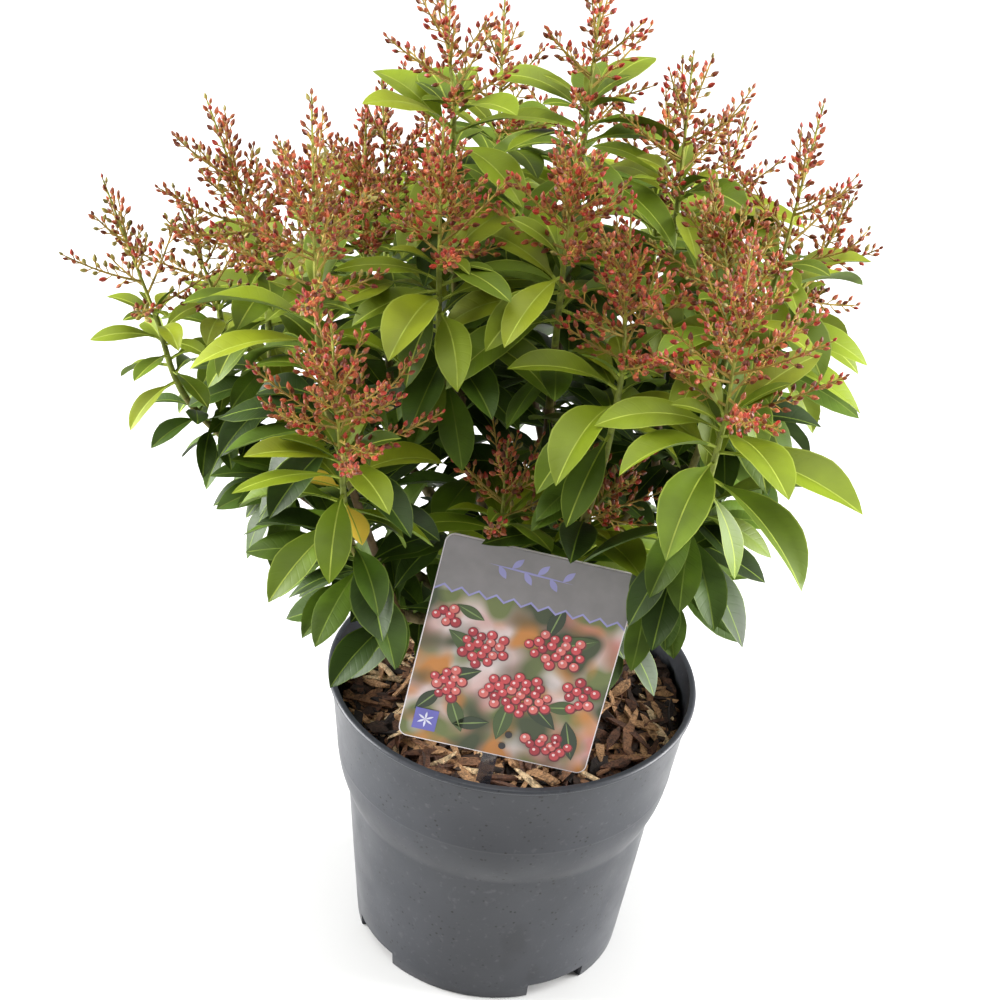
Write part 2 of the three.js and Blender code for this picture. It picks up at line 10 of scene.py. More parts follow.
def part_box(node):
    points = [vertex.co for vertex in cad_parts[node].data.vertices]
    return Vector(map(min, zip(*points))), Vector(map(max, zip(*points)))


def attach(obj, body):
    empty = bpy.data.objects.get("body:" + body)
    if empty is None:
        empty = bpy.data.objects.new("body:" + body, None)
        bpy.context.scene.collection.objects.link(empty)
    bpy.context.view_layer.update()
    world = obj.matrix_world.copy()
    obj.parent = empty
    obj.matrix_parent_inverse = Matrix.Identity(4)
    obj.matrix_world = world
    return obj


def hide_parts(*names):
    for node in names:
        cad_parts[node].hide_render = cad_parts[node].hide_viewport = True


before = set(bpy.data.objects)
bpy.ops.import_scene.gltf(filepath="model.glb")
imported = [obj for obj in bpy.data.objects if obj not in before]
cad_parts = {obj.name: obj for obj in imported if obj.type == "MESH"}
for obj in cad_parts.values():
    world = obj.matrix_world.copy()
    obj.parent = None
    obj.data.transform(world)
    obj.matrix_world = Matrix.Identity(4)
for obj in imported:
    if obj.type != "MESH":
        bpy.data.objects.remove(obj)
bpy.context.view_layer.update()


# ---- Camera, floor and light --------------------------------------------------------------------
# A long lens looks down on the pot from a little over half a metre above it, and is held slightly
# askew. The floor is a plain white sheet, and wide soft lamps hang over it in a white studio.
CAMERA_PLACE = (-0.0236, -0.8570, 0.7835)
CAMERA_TURN_DEG = -0.708
CAMERA_TILT_DEG = 56.77
CAMERA_ROLL_DEG = 5.90
CAMERA_LENS_MM = 90.05
CAMERA_SENSOR_MM = 36
CAMERA_CLIP_START = 0.01
FLOOR_SIDE = 24
FLOOR_WHITE = (212, 212, 211)
STUDIO_WHITE = (1.0, 0.995, 0.985, 1)
STUDIO_STRENGTH = 0.36
LAMPS = {
    "lamp_over": {"place": (-0.1, 0.1, 2.3), "target": (0, 0, 0.1), "side": 2.6, "power": 72},
    "lamp_left": {"place": (-1.7, 0.2, 0.6), "target": (0, 0, 0.15), "side": 1.2, "power": 86},
    "lamp_right": {"place": (1.7, 0.2, 0.6), "target": (0, 0, 0.15), "side": 1.2, "power": 88},
}

camera_data = bpy.data.cameras.new("camera")
camera_data.lens = CAMERA_LENS_MM
camera_data.sensor_width = CAMERA_SENSOR_MM
camera_data.clip_start = CAMERA_CLIP_START
camera = bpy.data.objects.new("camera", camera_data)
bpy.context.scene.collection.objects.link(camera)
camera_turns = ((CAMERA_TURN_DEG, "Z"), (CAMERA_TILT_DEG, "X"), (CAMERA_ROLL_DEG, "Z"))
camera_matrix = Matrix.Translation(CAMERA_PLACE)
for turn_deg, turn_axis in camera_turns:
    camera_matrix = camera_matrix @ Matrix.Rotation(math.radians(turn_deg), 4, turn_axis)
camera.matrix_world = camera_matrix
bpy.context.scene.camera = camera
bpy.context.scene.view_settings.view_transform = "Standard"

studio = bpy.data.worlds.new("studio")
studio.use_nodes = True
studio.node_tree.nodes["Background"].inputs["Color"].default_value = STUDIO_WHITE
studio.node_tree.nodes["Background"].inputs["Strength"].default_value = STUDIO_STRENGTH
bpy.context.scene.world = studio


def hang_lamp(name, place, target, side, power):
    """A square soft lamp at a place, turned towards its target."""
    lamp_data = bpy.data.lights.new(name, "AREA")
    lamp_data.size = side
    lamp_data.energy = power
    lamp = bpy.data.objects.new(name, lamp_data)
    bpy.context.scene.collection.objects.link(lamp)
    lamp.location = place
    lamp.rotation_euler = (Vector(target) - Vector(place)).to_track_quat("-Z", "Y").to_euler()


for lamp_name, facts in LAMPS.items():
    hang_lamp(lamp_name, **facts)


def seen(red, green, blue):
    """A colour as the eye sees it, each part 0 to 255, as the linear colour that a shader takes."""
    linear = [
        ((part / 255 + 0.055) / 1.055) ** 2.4 if part > 10 else part / 3294.6
        for part in (red, green, blue)
    ]
    return (*linear, 1)


def new_finish(name, colour, roughness, **sockets):
    """A material whose Principled shader has this colour and roughness, and other sockets by name."""
    finish = bpy.data.materials.new(name)
    finish.use_nodes = True
    shader = finish.node_tree.nodes["Principled BSDF"]
    shader.inputs["Base Color"].default_value = colour
    shader.inputs["Roughness"].default_value = roughness
    for socket, value in sockets.items():
        shader.inputs[socket.replace("_", " ")].default_value = value
    return finish


floor_finish = new_finish("studio_floor", seen(*FLOOR_WHITE), 0.9)
floor_mesh = bmesh.new()
bmesh.ops.create_grid(floor_mesh, x_segments=2, y_segments=2, size=FLOOR_SIDE / 2)
floor_data = bpy.data.meshes.new("floor")
floor_mesh.to_mesh(floor_data)
floor_mesh.free()
floor_data.materials.append(floor_finish)
floor = bpy.data.objects.new("floor", floor_data)
bpy.context.scene.collection.objects.link(floor)


# ---- Pot ----------------------------------------------------------------------------------------
# A round nursery pot, injection moulded in slate grey polypropylene: a tapered body, a shoulder that
# carries a wider collar, a thin rolled lip, and a foot ring opened by four drain slots.
MM = 0.001
POT_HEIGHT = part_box("pot")[1].z / MM
POT_LIP_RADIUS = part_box("pot")[1].x / MM
POT_FOOT_RADIUS = 59
POT_BODY_RADIUS = 67
POT_BODY_TOP = 74
POT_COLLAR_RADIUS = 73
POT_COLLAR_FOOT = 95.5
POT_RIM_RADIUS = 77.8
POT_WALL = 1.6
POT_FLOOR = 2
POT_STEPS = 144
UNDERSIDE_RECESS = 0.9
FOOT_FLANK = 2
FOOT_ROUND_IN = 0.6
FOOT_ROUND_UP = 0.7
BODY_LOOP_HEIGHT = 32
SHOULDER_STEPS = 22
SHOULDER_BULGE = 2.4
SHOULDER_SWEEP = 0.18
SEAM_HEIGHT = 96.5
SEAM_RISE = 0.14
SEAM_REACH = 0.5
COLLAR_LOOP_HEIGHT = 115
LIP_STEPS = 8
LIP_HALF_HEIGHT = 1.3
LIP_OVERLAP = 0.2
LIP_NECK_IN = 0.3
LIP_NECK_DOWN = 3
MOUTH_EDGE_DOWN = 0.1
MOUTH_ROUND_DOWN = 0.8
SLOT_COUNT = 4
SLOT_FIRST_DEG = 34
SLOT_WIDTH_DEG = 26
SLOT_HEIGHT = 7
SLOT_INNER_RADIUS = 49.5
POT_GREY = (54, 56, 61)
POT_GREY_LOW = (49, 51, 56)
POT_GREY_HIGH = (59, 61, 66)
SCUFF_GREY = (38, 39, 43)
DUST_GREY = (108, 108, 110)
FLECK_BLACK = (20, 19, 19)


def wall_radius(height):
    """The outer radius of the pot's wall at a height."""
    heights = (0, POT_BODY_TOP, POT_COLLAR_FOOT, POT_HEIGHT)
    radii = (POT_FOOT_RADIUS, POT_BODY_RADIUS, POT_COLLAR_RADIUS, POT_RIM_RADIUS)
    return float(np.interp(height, heights, radii))


def shoulder(steps):
    """The outside of the shoulder: it sweeps out from the body, and rounds over into the collar."""
    rise = POT_COLLAR_FOOT - POT_BODY_TOP
    taper = (POT_RIM_RADIUS - POT_COLLAR_RADIUS) / (POT_HEIGHT - POT_COLLAR_FOOT) * rise
    bulge = POT_COLLAR_RADIUS - POT_BODY_RADIUS - taper
    points = []
    for i in range(steps + 1):
        share = i / steps
        eased = share * share * (1 + SHOULDER_SWEEP) / (share + SHOULDER_SWEEP)
        radius = POT_BODY_RADIUS + taper * share + bulge * (1 - (1 - eased) ** SHOULDER_BULGE)
        points.append((radius, POT_BODY_TOP + rise * share))
    return points


def rolled_lip(steps):
    """The outside of the rim: a small bead, rolled over from below the collar's edge to its top."""
    middle = POT_HEIGHT - LIP_HALF_HEIGHT
    bead = POT_LIP_RADIUS - POT_RIM_RADIUS + LIP_OVERLAP
    arc = np.linspace(-math.pi / 2, math.pi / 2, steps + 1)
    return [
        (POT_RIM_RADIUS - LIP_OVERLAP + bead * math.cos(angle), middle + LIP_HALF_HEIGHT * math.sin(angle))
        for angle in arc
    ]


outer_wall = [
    (0, UNDERSIDE_RECESS),
    (SLOT_INNER_RADIUS - FOOT_FLANK, UNDERSIDE_RECESS),
    (SLOT_INNER_RADIUS, 0),
    (POT_FOOT_RADIUS - FOOT_ROUND_IN, 0),
    (POT_FOOT_RADIUS, FOOT_ROUND_UP),
    (wall_radius(SLOT_HEIGHT), SLOT_HEIGHT),
    (wall_radius(BODY_LOOP_HEIGHT), BODY_LOOP_HEIGHT),
    *shoulder(SHOULDER_STEPS),
    (wall_radius(SEAM_HEIGHT - SEAM_REACH), SEAM_HEIGHT - SEAM_REACH),
    (wall_radius(SEAM_HEIGHT) + SEAM_RISE, SEAM_HEIGHT),
    (wall_radius(SEAM_HEIGHT + SEAM_REACH), SEAM_HEIGHT + SEAM_REACH),
    (wall_radius(COLLAR_LOOP_HEIGHT), COLLAR_LOOP_HEIGHT),
    (POT_RIM_RADIUS - LIP_NECK_IN, POT_HEIGHT - LIP_NECK_DOWN),
    *rolled_lip(LIP_STEPS),
]
inner_wall = [
    (POT_RIM_RADIUS - POT_WALL + LIP_OVERLAP, POT_HEIGHT - MOUTH_EDGE_DOWN),
    (POT_RIM_RADIUS - POT_WALL, POT_HEIGHT - MOUTH_ROUND_DOWN),
    (POT_COLLAR_RADIUS - POT_WALL, POT_COLLAR_FOOT),
    (POT_BODY_RADIUS - POT_WALL, POT_BODY_TOP),
    (wall_radius(SLOT_HEIGHT) - POT_WALL, SLOT_HEIGHT),
    (POT_FOOT_RADIUS - POT_WALL, POT_FLOOR),
    (SLOT_INNER_RADIUS, POT_FLOOR),
    (0, POT_FLOOR),
]


def spun(profile, steps):
    """A bmesh of a profile, (radius, height) pairs in millimetres, spun round the pot's axis."""
    shape = bmesh.new()
    points = [shape.verts.new((radius * MM, 0, height * MM)) for radius, height in profile]
    line = [shape.edges.new(pair) for pair in zip(points, points[1:])]
    bmesh.ops.spin(
        shape, geom=points + line, cent=(0, 0, 0), axis=(0, 0, 1), dvec=(0, 0, 0),
        angle=math.tau, steps=steps, use_merge=True, use_duplicate=False,
    )
    bmesh.ops.remove_doubles(shape, verts=shape.verts, dist=1e-6)
    bmesh.ops.recalc_face_normals(shape, faces=shape.faces)
    return shape


def azimuth_deg(point):
    """The angle round the pot's axis at which a point stands, from 0 to 360."""
    return math.degrees(math.atan2(point.y, point.x)) % 360


def in_slot(face):
    """Whether a face lies where a drain slot opens the foot ring."""
    middle = face.calc_center_median()
    if middle.z > SLOT_HEIGHT * MM or middle.xy.length < SLOT_INNER_RADIUS * MM:
        return False
    spacing = 360 / SLOT_COUNT
    off_centre = (azimuth_deg(middle) - SLOT_FIRST_DEG + spacing / 2) % spacing - spacing / 2
    return abs(off_centre) < SLOT_WIDTH_DEG / 2


def finished_piece(name, shape, finishes, sharp_deg=40):
    """A bmesh made a piece, smooth but for its sharp edges."""
    data = bpy.data.meshes.new(name)
    shape.to_mesh(data)
    shape.free()
    return placed_piece(name, data, finishes, sharp_deg)


def placed_piece(name, data, finishes, sharp_deg):
    """A mesh made an object with its finishes, which rides on the root."""
    data.shade_smooth()
    data.set_sharp_from_angle(angle=math.radians(sharp_deg))
    for finish in finishes:
        data.materials.append(finish)
    piece = bpy.data.objects.new(name, data)
    bpy.context.scene.collection.objects.link(piece)
    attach(piece, "root")
    return piece


def add_node(finish, kind, settings=None, **inputs):
    """A node in a material, with its settings and its inputs: values, or sockets to link from."""
    made = finish.node_tree.nodes.new("ShaderNode" + kind)
    for key, value in (settings or {}).items():
        setattr(made, key, value)
    for key, value in inputs.items():
        socket = made.inputs[int(key[1:])] if key[1:].isdigit() else made.inputs[key.replace("_", " ")]
        if isinstance(value, bpy.types.NodeSocket):
            finish.node_tree.links.new(value, socket)
        else:
            socket.default_value = value
    return made


def drive(finish, socket, value):
    """Links a value to a socket of the material's Principled shader."""
    finish.node_tree.links.new(value, finish.node_tree.nodes["Principled BSDF"].inputs[socket])


def grain(finish, scale, detail=3.0, stretch=(1, 1, 1), distortion=0.0):
    """Noise on the object's own coordinates, from 0 to 1. scale is in cycles a metre."""
    place = add_node(finish, "TexCoord").outputs["Object"]
    mapped = add_node(finish, "Mapping", Vector=place, Scale=stretch).outputs["Vector"]
    made = add_node(finish, "TexNoise", Vector=mapped, Scale=scale, Detail=detail, Distortion=distortion)
    return made.outputs["Fac"]


def between(finish, value, low, high, to_low=0.0, to_high=1.0):
    """A value's range, low to high, drawn out to another, and held inside it."""
    made = add_node(
        finish, "MapRange", Value=value, From_Min=low, From_Max=high, To_Min=to_low, To_Max=to_high
    )
    return made.outputs["Result"]


def reckon(finish, operation, *values):
    """The result of a sum on values or sockets, such as MULTIPLY."""
    inputs = {f"i{n}": value for n, value in enumerate(values)}
    return add_node(finish, "Math", {"operation": operation}, **inputs).outputs[0]


def blend_of(finish, share, first, second):
    """Two colours mixed by a share. Each is a colour or a socket."""
    made = add_node(finish, "Mix", {"data_type": "RGBA"}, i0=share, i6=first, i7=second)
    return made.outputs[2]


def roughen(finish, height, distance, strength=1.0):
    """A relief in the shading, from a height of 0 to 1 over a distance in metres."""
    made = add_node(finish, "Bump", Height=height, Distance=distance, Strength=strength)
    drive(finish, "Normal", made.outputs["Normal"])


pot_finish = new_finish("slate_plastic", seen(*POT_GREY), 0.36, Specular_IOR_Level=0.34)
pot_cloud = between(pot_finish, grain(pot_finish, 26, 4), 0.35, 0.7)
pot_tone = blend_of(pot_finish, pot_cloud, seen(*POT_GREY_LOW), seen(*POT_GREY_HIGH))
scuff = between(pot_finish, grain(pot_finish, 44, 2, (1, 1, 0.5)), 0.66, 0.74, 0, 0.5)
pot_worn = blend_of(pot_finish, scuff, pot_tone, seen(*SCUFF_GREY))
dust = between(pot_finish, grain(pot_finish, 340, 5), 0.6, 0.8, 0, 0.3)
pot_dusty = blend_of(pot_finish, dust, pot_worn, seen(*DUST_GREY))
fleck_place = add_node(pot_finish, "TexCoord").outputs["Object"]
fleck_cells = add_node(pot_finish, "TexVoronoi", Vector=fleck_place, Scale=330.0)
fleck_spot = between(pot_finish, fleck_cells.outputs["Distance"], 0.24, 0.12)
fleck_thin = between(pot_finish, grain(pot_finish, 75, 2), 0.5, 0.6)
flecks = reckon(pot_finish, "MULTIPLY", fleck_spot, fleck_thin)
drive(pot_finish, "Base Color", blend_of(pot_finish, flecks, pot_dusty, seen(*FLECK_BLACK)))
drive(pot_finish, "Roughness", between(pot_finish, grain(pot_finish, 60, 5), 0.3, 0.7, 0.3, 0.42))
roughen(pot_finish, grain(pot_finish, 900, 3), 0.00005, 0.5)

pot_shape = spun(outer_wall + inner_wall, POT_STEPS)
slot_faces = [face for face in pot_shape.faces if in_slot(face)]
bmesh.ops.delete(pot_shape, geom=slot_faces, context="FACES")
open_edges = [edge for edge in pot_shape.edges if edge.is_boundary]
for slot_number in range(SLOT_COUNT):
    slot_azimuth = (SLOT_FIRST_DEG + 360 / SLOT_COUNT * slot_number) % 360
    slot_edges = []
    for edge in open_edges:
        middle = (edge.verts[0].co + edge.verts[1].co) / 2
        off = (azimuth_deg(middle) - slot_azimuth + 180) % 360 - 180
        if abs(off) < SLOT_WIDTH_DEG:
            slot_edges.append(edge)
    bmesh.ops.bridge_loops(pot_shape, edges=slot_edges)
bmesh.ops.recalc_face_normals(pot_shape, faces=pot_shape.faces)
pot = finished_piece("nursery_pot", pot_shape, [pot_finish], 35)
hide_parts("pot")


# ---- Mulch --------------------------------------------------------------------------------------
# Dark compost fills the pot, under a loose layer of shredded conifer bark and pale wood splinters,
# which lie as they fell, a finger's width below the rim.
MULCH_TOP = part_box("mulch")[1].z / MM
BED_GAP = 0.35
BED_TOP = MULCH_TOP - 3.2
BED_STEPS = 90
BED_RINGS = 22
BED_FOOT_WIDTH = 4
BED_FOOT_HEIGHT = 6
BED_UNDER_SHOULDER = 1
BED_EDGE = 0.5
BED_SKIN = 0.1
BED_RELIEF = 1.4
BED_HUMPS = 190
CHIP_REACH = 74.2
CHIP_LIE = 0.6
CHIP_TILT = 0.13
CHIP_ROLL = 0.3
CHIP_BOW = 0.05
CHIP_SKEW = 0.04
CHIP_ROUGHNESS = 0.08
CHIP_ROUGHNESS_UP = 0.3
CHIP_END_SLANT = 0.25
CHIP_END_WIDTHS = (0.25, 0.9)
CHIP_MIDDLE_WIDTHS = (0.8, 1)
CHIP_SEED = 41
CHIP_ENDS = np.array([0.0, 0.3, 0.7, 1.0])
CHIP_KINDS = {
    "crumb": {
        "count": 1000, "length": (2, 5), "width": (1.2, 2.8), "thickness": (0.6, 1.4), "rise": (-3.2, 0.6),
    },
    "flake": {
        "count": 460, "length": (6, 16), "width": (3.5, 8), "thickness": (0.8, 1.8), "rise": (-2.8, 1.2),
    },
    "shred": {
        "count": 420, "length": (9, 20), "width": (2.2, 4.6), "thickness": (0.7, 1.6), "rise": (-2.2, 2.2),
    },
    "splinter": {
        "count": 230, "length": (10, 25), "width": (1.8, 4.2), "thickness": (0.5, 1.3), "rise": (-0.6, 3.0),
    },
}
CHIP_SHADES = {
    "bark_black": (30, 20, 15),
    "bark_dark": (54, 35, 24),
    "bark_red": (86, 54, 36),
    "wood_brown": (120, 82, 54),
    "wood_tan": (164, 123, 84),
    "wood_pale": (212, 182, 140),
}
# How large a share of each kind of chip takes each of the six shades, from bark_black to wood_pale.
CHIP_DEALS = {
    "crumb": (0.36, 0.30, 0.16, 0.09, 0.06, 0.03),
    "flake": (0.24, 0.32, 0.24, 0.12, 0.06, 0.02),
    "shred": (0.08, 0.20, 0.22, 0.24, 0.18, 0.08),
    "splinter": (0.02, 0.06, 0.12, 0.26, 0.32, 0.22),
}
COMPOST_BROWN = (34, 26, 20)
COMPOST_LOW = (22, 16, 13)
COMPOST_HIGH = (62, 46, 34)

compost_finish = new_finish("compost", seen(*COMPOST_BROWN), 0.95)
compost_tone = between(compost_finish, grain(compost_finish, 420, 5), 0.35, 0.7)
compost_skin = blend_of(compost_finish, compost_tone, seen(*COMPOST_LOW), seen(*COMPOST_HIGH))
drive(compost_finish, "Base Color", compost_skin)
roughen(compost_finish, grain(compost_finish, 700, 6), 0.0012)


def shaded(colour, factor, lift=0):
    """A colour made darker or lighter by a factor, then lifted evenly, as a shader takes it."""
    return seen(*(min(255, part * factor + lift) for part in colour))


def chip_finish(name, colour):
    """Wood or bark in one shade, streaked along no one way, rough, with darker dirt in its grain."""
    finish = new_finish(name, seen(*colour), 0.88)
    streaks = between(finish, grain(finish, 520, 4, distortion=1.5), 0.32, 0.66)
    drive(finish, "Base Color", blend_of(finish, streaks, shaded(colour, 0.55), shaded(colour, 1.14, 6)))
    roughen(finish, grain(finish, 1400, 4), 0.0004)
    return finish


bed_profile = [
    (0, POT_FLOOR + BED_GAP),
    (POT_FOOT_RADIUS - POT_WALL - BED_FOOT_WIDTH, POT_FLOOR + BED_GAP),
    (POT_FOOT_RADIUS - POT_WALL - BED_GAP, POT_FLOOR + BED_FOOT_HEIGHT),
    (POT_BODY_RADIUS - POT_WALL - BED_GAP, POT_BODY_TOP - BED_UNDER_SHOULDER),
    (POT_COLLAR_RADIUS - POT_WALL - BED_GAP, POT_COLLAR_FOOT + BED_EDGE),
    (wall_radius(BED_TOP) - POT_WALL - BED_GAP, BED_TOP - BED_EDGE),
]
bed_radii = np.linspace(bed_profile[-1][0] - BED_EDGE, 0, BED_RINGS)
bed_profile += [(float(radius), BED_TOP) for radius in bed_radii]
bed_shape = spun(bed_profile, BED_STEPS)
for point in bed_shape.verts:
    if point.co.z > (BED_TOP - BED_SKIN) * MM:
        point.co.z += BED_RELIEF * MM * noise.noise(point.co * BED_HUMPS)
bed = finished_piece("compost_bed", bed_shape, [compost_finish])
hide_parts("mulch")


def chip_points(random, kind):
    """The 16 corners of one chip, four rings of four, in millimetres, or None if it leaves the pot."""
    length, width, thickness, rise = (
        random.uniform(*CHIP_KINDS[kind][key]) for key in ("length", "width", "thickness", "rise")
    )
    azimuth, turn = random.uniform(0, math.tau, 2)
    out = CHIP_REACH * math.sqrt(random.uniform(0, 1))
    tilt = random.normal(0, CHIP_TILT)
    roll = random.normal(0, CHIP_ROLL)
    ends = random.uniform(*CHIP_END_WIDTHS, 2)
    swell = np.array([ends[0], 1, random.uniform(*CHIP_MIDDLE_WIDTHS), ends[1]])
    bow = random.normal(0, CHIP_BOW) * length * np.sin(math.pi * CHIP_ENDS)
    skew = random.normal(0, CHIP_SKEW) * length * np.sin(math.pi * CHIP_ENDS)
    corners = []
    for i, share in enumerate(CHIP_ENDS):
        half_width = width / 2 * swell[i]
        half_depth = thickness / 2 * (0.5 + 0.5 * swell[i])
        for across, up in ((-1, -1), (1, -1), (1, 1), (-1, 1)):
            jitter = random.normal(0, CHIP_ROUGHNESS * width, 2)
            end_slant = CHIP_END_SLANT * width * across if share in (0, 1) else 0
            corners.append((
                (share - 0.5) * length + end_slant,
                across * half_width + skew[i] + jitter[0],
                up * half_depth + bow[i] + jitter[1] * CHIP_ROUGHNESS_UP,
            ))
    turned = Matrix.Rotation(turn, 3, "Z")
    for angle, axis in ((tilt, "Y"), (roll, "X")):
        turned = turned @ Matrix.Rotation(angle, 3, axis)
    points = np.array(corners) @ np.array(turned).T
    points += (out * math.cos(azimuth), out * math.sin(azimuth), MULCH_TOP - CHIP_LIE + rise)
    if np.hypot(points[:, 0], points[:, 1]).max() > CHIP_REACH:
        return None
    return points


def tube_faces(rings, sides, first=0, capped=(True, True)):
    """Faces of a tube over rings of corners, each ring anticlockwise seen from the far end."""
    faces = []
    for i in range(rings - 1):
        low = first + i * sides
        for j in range(sides):
            k = (j + 1) % sides
            faces.append((low + j, low + k, low + sides + k, low + sides + j))
    if capped[0]:
        faces.append(tuple(first + j for j in reversed(range(sides))))
    if capped[1]:
        last = first + (rings - 1) * sides
        faces.append(tuple(last + j for j in range(sides)))
    return faces


def repeated(faces, size, count):
    """A shape's faces written once for each of its copies, which follow each other point by point."""
    return [tuple(size * n + corner for corner in face) for n in range(count) for face in faces]


def joined_piece(name, points, faces, slots, finishes, sharp_deg=60, uv=None):
    """Many small shapes made one piece. Points are in millimetres. slots gives each face's finish."""
    data = bpy.data.meshes.new(name)
    data.from_pydata((np.asarray(points, float) * MM).tolist(), [], faces)
    data.polygons.foreach_set("material_index", np.asarray(slots, np.int32))
    if uv is not None:
        corners = np.zeros(len(data.loops), np.int32)
        data.loops.foreach_get("vertex_index", corners)
        layer = data.uv_layers.new(name="blade")
        layer.uv.foreach_set("vector", np.asarray(uv, np.float32)[corners].ravel())
    data.validate()
    return placed_piece(name, data, finishes, sharp_deg)


chip_random = np.random.default_rng(CHIP_SEED)
chip_corners = []
chip_slots = []
chip_pattern = tube_faces(len(CHIP_ENDS), 4)
for chip_kind, facts in CHIP_KINDS.items():
    made = 0
    while made < facts["count"]:
        corners = chip_points(chip_random, chip_kind)
        if corners is None:
            continue
        made += 1
        chip_corners.append(corners)
        shade = chip_random.choice(len(CHIP_SHADES), p=CHIP_DEALS[chip_kind])
        chip_slots += [shade] * len(chip_pattern)
joined_piece(
    "bark_chips", np.concatenate(chip_corners),
    repeated(chip_pattern, 4 * len(CHIP_ENDS), len(chip_corners)), chip_slots,
    [chip_finish(name, colour) for name, colour in CHIP_SHADES.items()], 30,
)


# ---- Trunk --------------------------------------------------------------------------------------
# The old wood of the shrub: a short trunk with a slight lean, which flares where it stands on the
# mulch. Its grey-brown bark is thin, and splits into narrow strips that run upwards.
TRUNK_FOOT = Vector((0, 0, MULCH_TOP + 0.3))
TRUNK_HEAD = Vector((3, -3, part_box("trunk")[1].z / MM))
TRUNK_RADIUS = 8
TRUNK_FLARE = 13
TRUNK_FLARE_SHARE = 0.4
TRUNK_TAPER = 0.2
TRUNK_SIDES = 40
TRUNK_RINGS = 30
BARK_RELIEF = 0.75
BARK_STRIP_SCALE = 0.42
BARK_STRIP_STRETCH = 0.28
BARK_STRIP_FRACTAL = (0.7, 2.1, 4)
BARK_BROWN = (112, 90, 68)
BARK_FURROW = (66, 49, 36)
BARK_RIDGE = (146, 122, 94)

bark_finish = new_finish("old_bark", seen(*BARK_BROWN), 0.9)
bark_strips = grain(bark_finish, 330, 6, (1, 1, 0.22), 0.6)
bark_tone = between(bark_finish, bark_strips, 0.3, 0.7)
drive(bark_finish, "Base Color", blend_of(bark_finish, bark_tone, seen(*BARK_FURROW), seen(*BARK_RIDGE)))
roughen(bark_finish, bark_strips, 0.0012)


def steered_rings(centres, radii, sides):
    """Rings of points round a row of centres, carried along without twisting: (rings, sides, 3)."""
    centres = np.asarray(centres, float)
    ways = np.gradient(centres, axis=0)
    ways /= np.linalg.norm(ways, axis=1)[:, None]
    guide = np.array((0, 0, 1.0)) if abs(ways[0][2]) < 0.9 else np.array((1.0, 0, 0))
    side = np.cross(guide, ways[0])
    turns = np.arange(sides) * math.tau / sides
    rings = []
    for centre, way, radius in zip(centres, ways, radii):
        side = side - way * side.dot(way)
        side /= np.linalg.norm(side)
        offsets = np.cos(turns)[:, None] * side + np.sin(turns)[:, None] * np.cross(way, side)
        rings.append(centre + radius * offsets)
    return np.array(rings)


def bark_limb(centres, radii, sides, relief):
    """A limb: a capped cylinder cut into rings and led along its centres, with the bark raised."""
    shape = bmesh.new()
    bmesh.ops.create_cone(shape, cap_ends=True, segments=sides, radius1=1, radius2=1, depth=1)
    risers = [edge for edge in shape.edges if abs(edge.verts[0].co.z - edge.verts[1].co.z) > 0.5]
    bmesh.ops.subdivide_edges(shape, edges=risers, cuts=len(centres) - 2, use_grid_fill=True)
    rings = steered_rings(centres, radii, sides)
    for vert in shape.verts:
        i = round((vert.co.z + 0.5) * (len(centres) - 1))
        j = round(math.atan2(vert.co.y, vert.co.x) / math.tau * sides) % sides
        point = Vector(rings[i][j])
        outward = (point - Vector(centres[i])).normalized()
        strip_place = Vector((point.x, point.y, point.z * BARK_STRIP_STRETCH)) * BARK_STRIP_SCALE
        strips = noise.fractal(strip_place, *BARK_STRIP_FRACTAL)
        vert.co = (point + outward * relief * strips) * MM
    return shape


trunk_shares = np.linspace(0, 1, TRUNK_RINGS)
trunk_centres = [TRUNK_FOOT.lerp(TRUNK_HEAD, float(share)) for share in trunk_shares]
trunk_flare = (TRUNK_FLARE - TRUNK_RADIUS) * np.maximum(0, 1 - trunk_shares / TRUNK_FLARE_SHARE) ** 2
trunk_radii = TRUNK_RADIUS * (1 - TRUNK_TAPER * trunk_shares) + trunk_flare - BARK_RELIEF / 2
trunk_limb = bark_limb(trunk_centres, trunk_radii, TRUNK_SIDES, BARK_RELIEF)
trunk = finished_piece("trunk_bark", trunk_limb, [bark_finish])
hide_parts("trunk")


# ---- Boughs -------------------------------------------------------------------------------------
# Ten slender boughs leave the trunk in turn, each a single tapering limb of two-year-old wood with
# smooth olive-brown bark. A mass of foliage grows on from the tip of each.
BOUGH_FOOT_RADIUS = 3.3
BOUGH_TIP_RADIUS = 2.3
BOUGH_SIDES = 16
BOUGH_RINGS = 26
BOUGH_RELIEF = 0.35
INNER_REACH = 35
INNER_FORK_SHARE = 0.86
OUTER_FORK_SHARE = 0.28
OUTER_FORK_STEP = 0.24
BOUGH_BEND_SHARE = 0.45
BOUGH_BEND_RISE = 0.07
YOUNG_BARK = (116, 104, 66)
YOUNG_BARK_LOW = (84, 70, 44)
YOUNG_BARK_HIGH = (140, 126, 84)

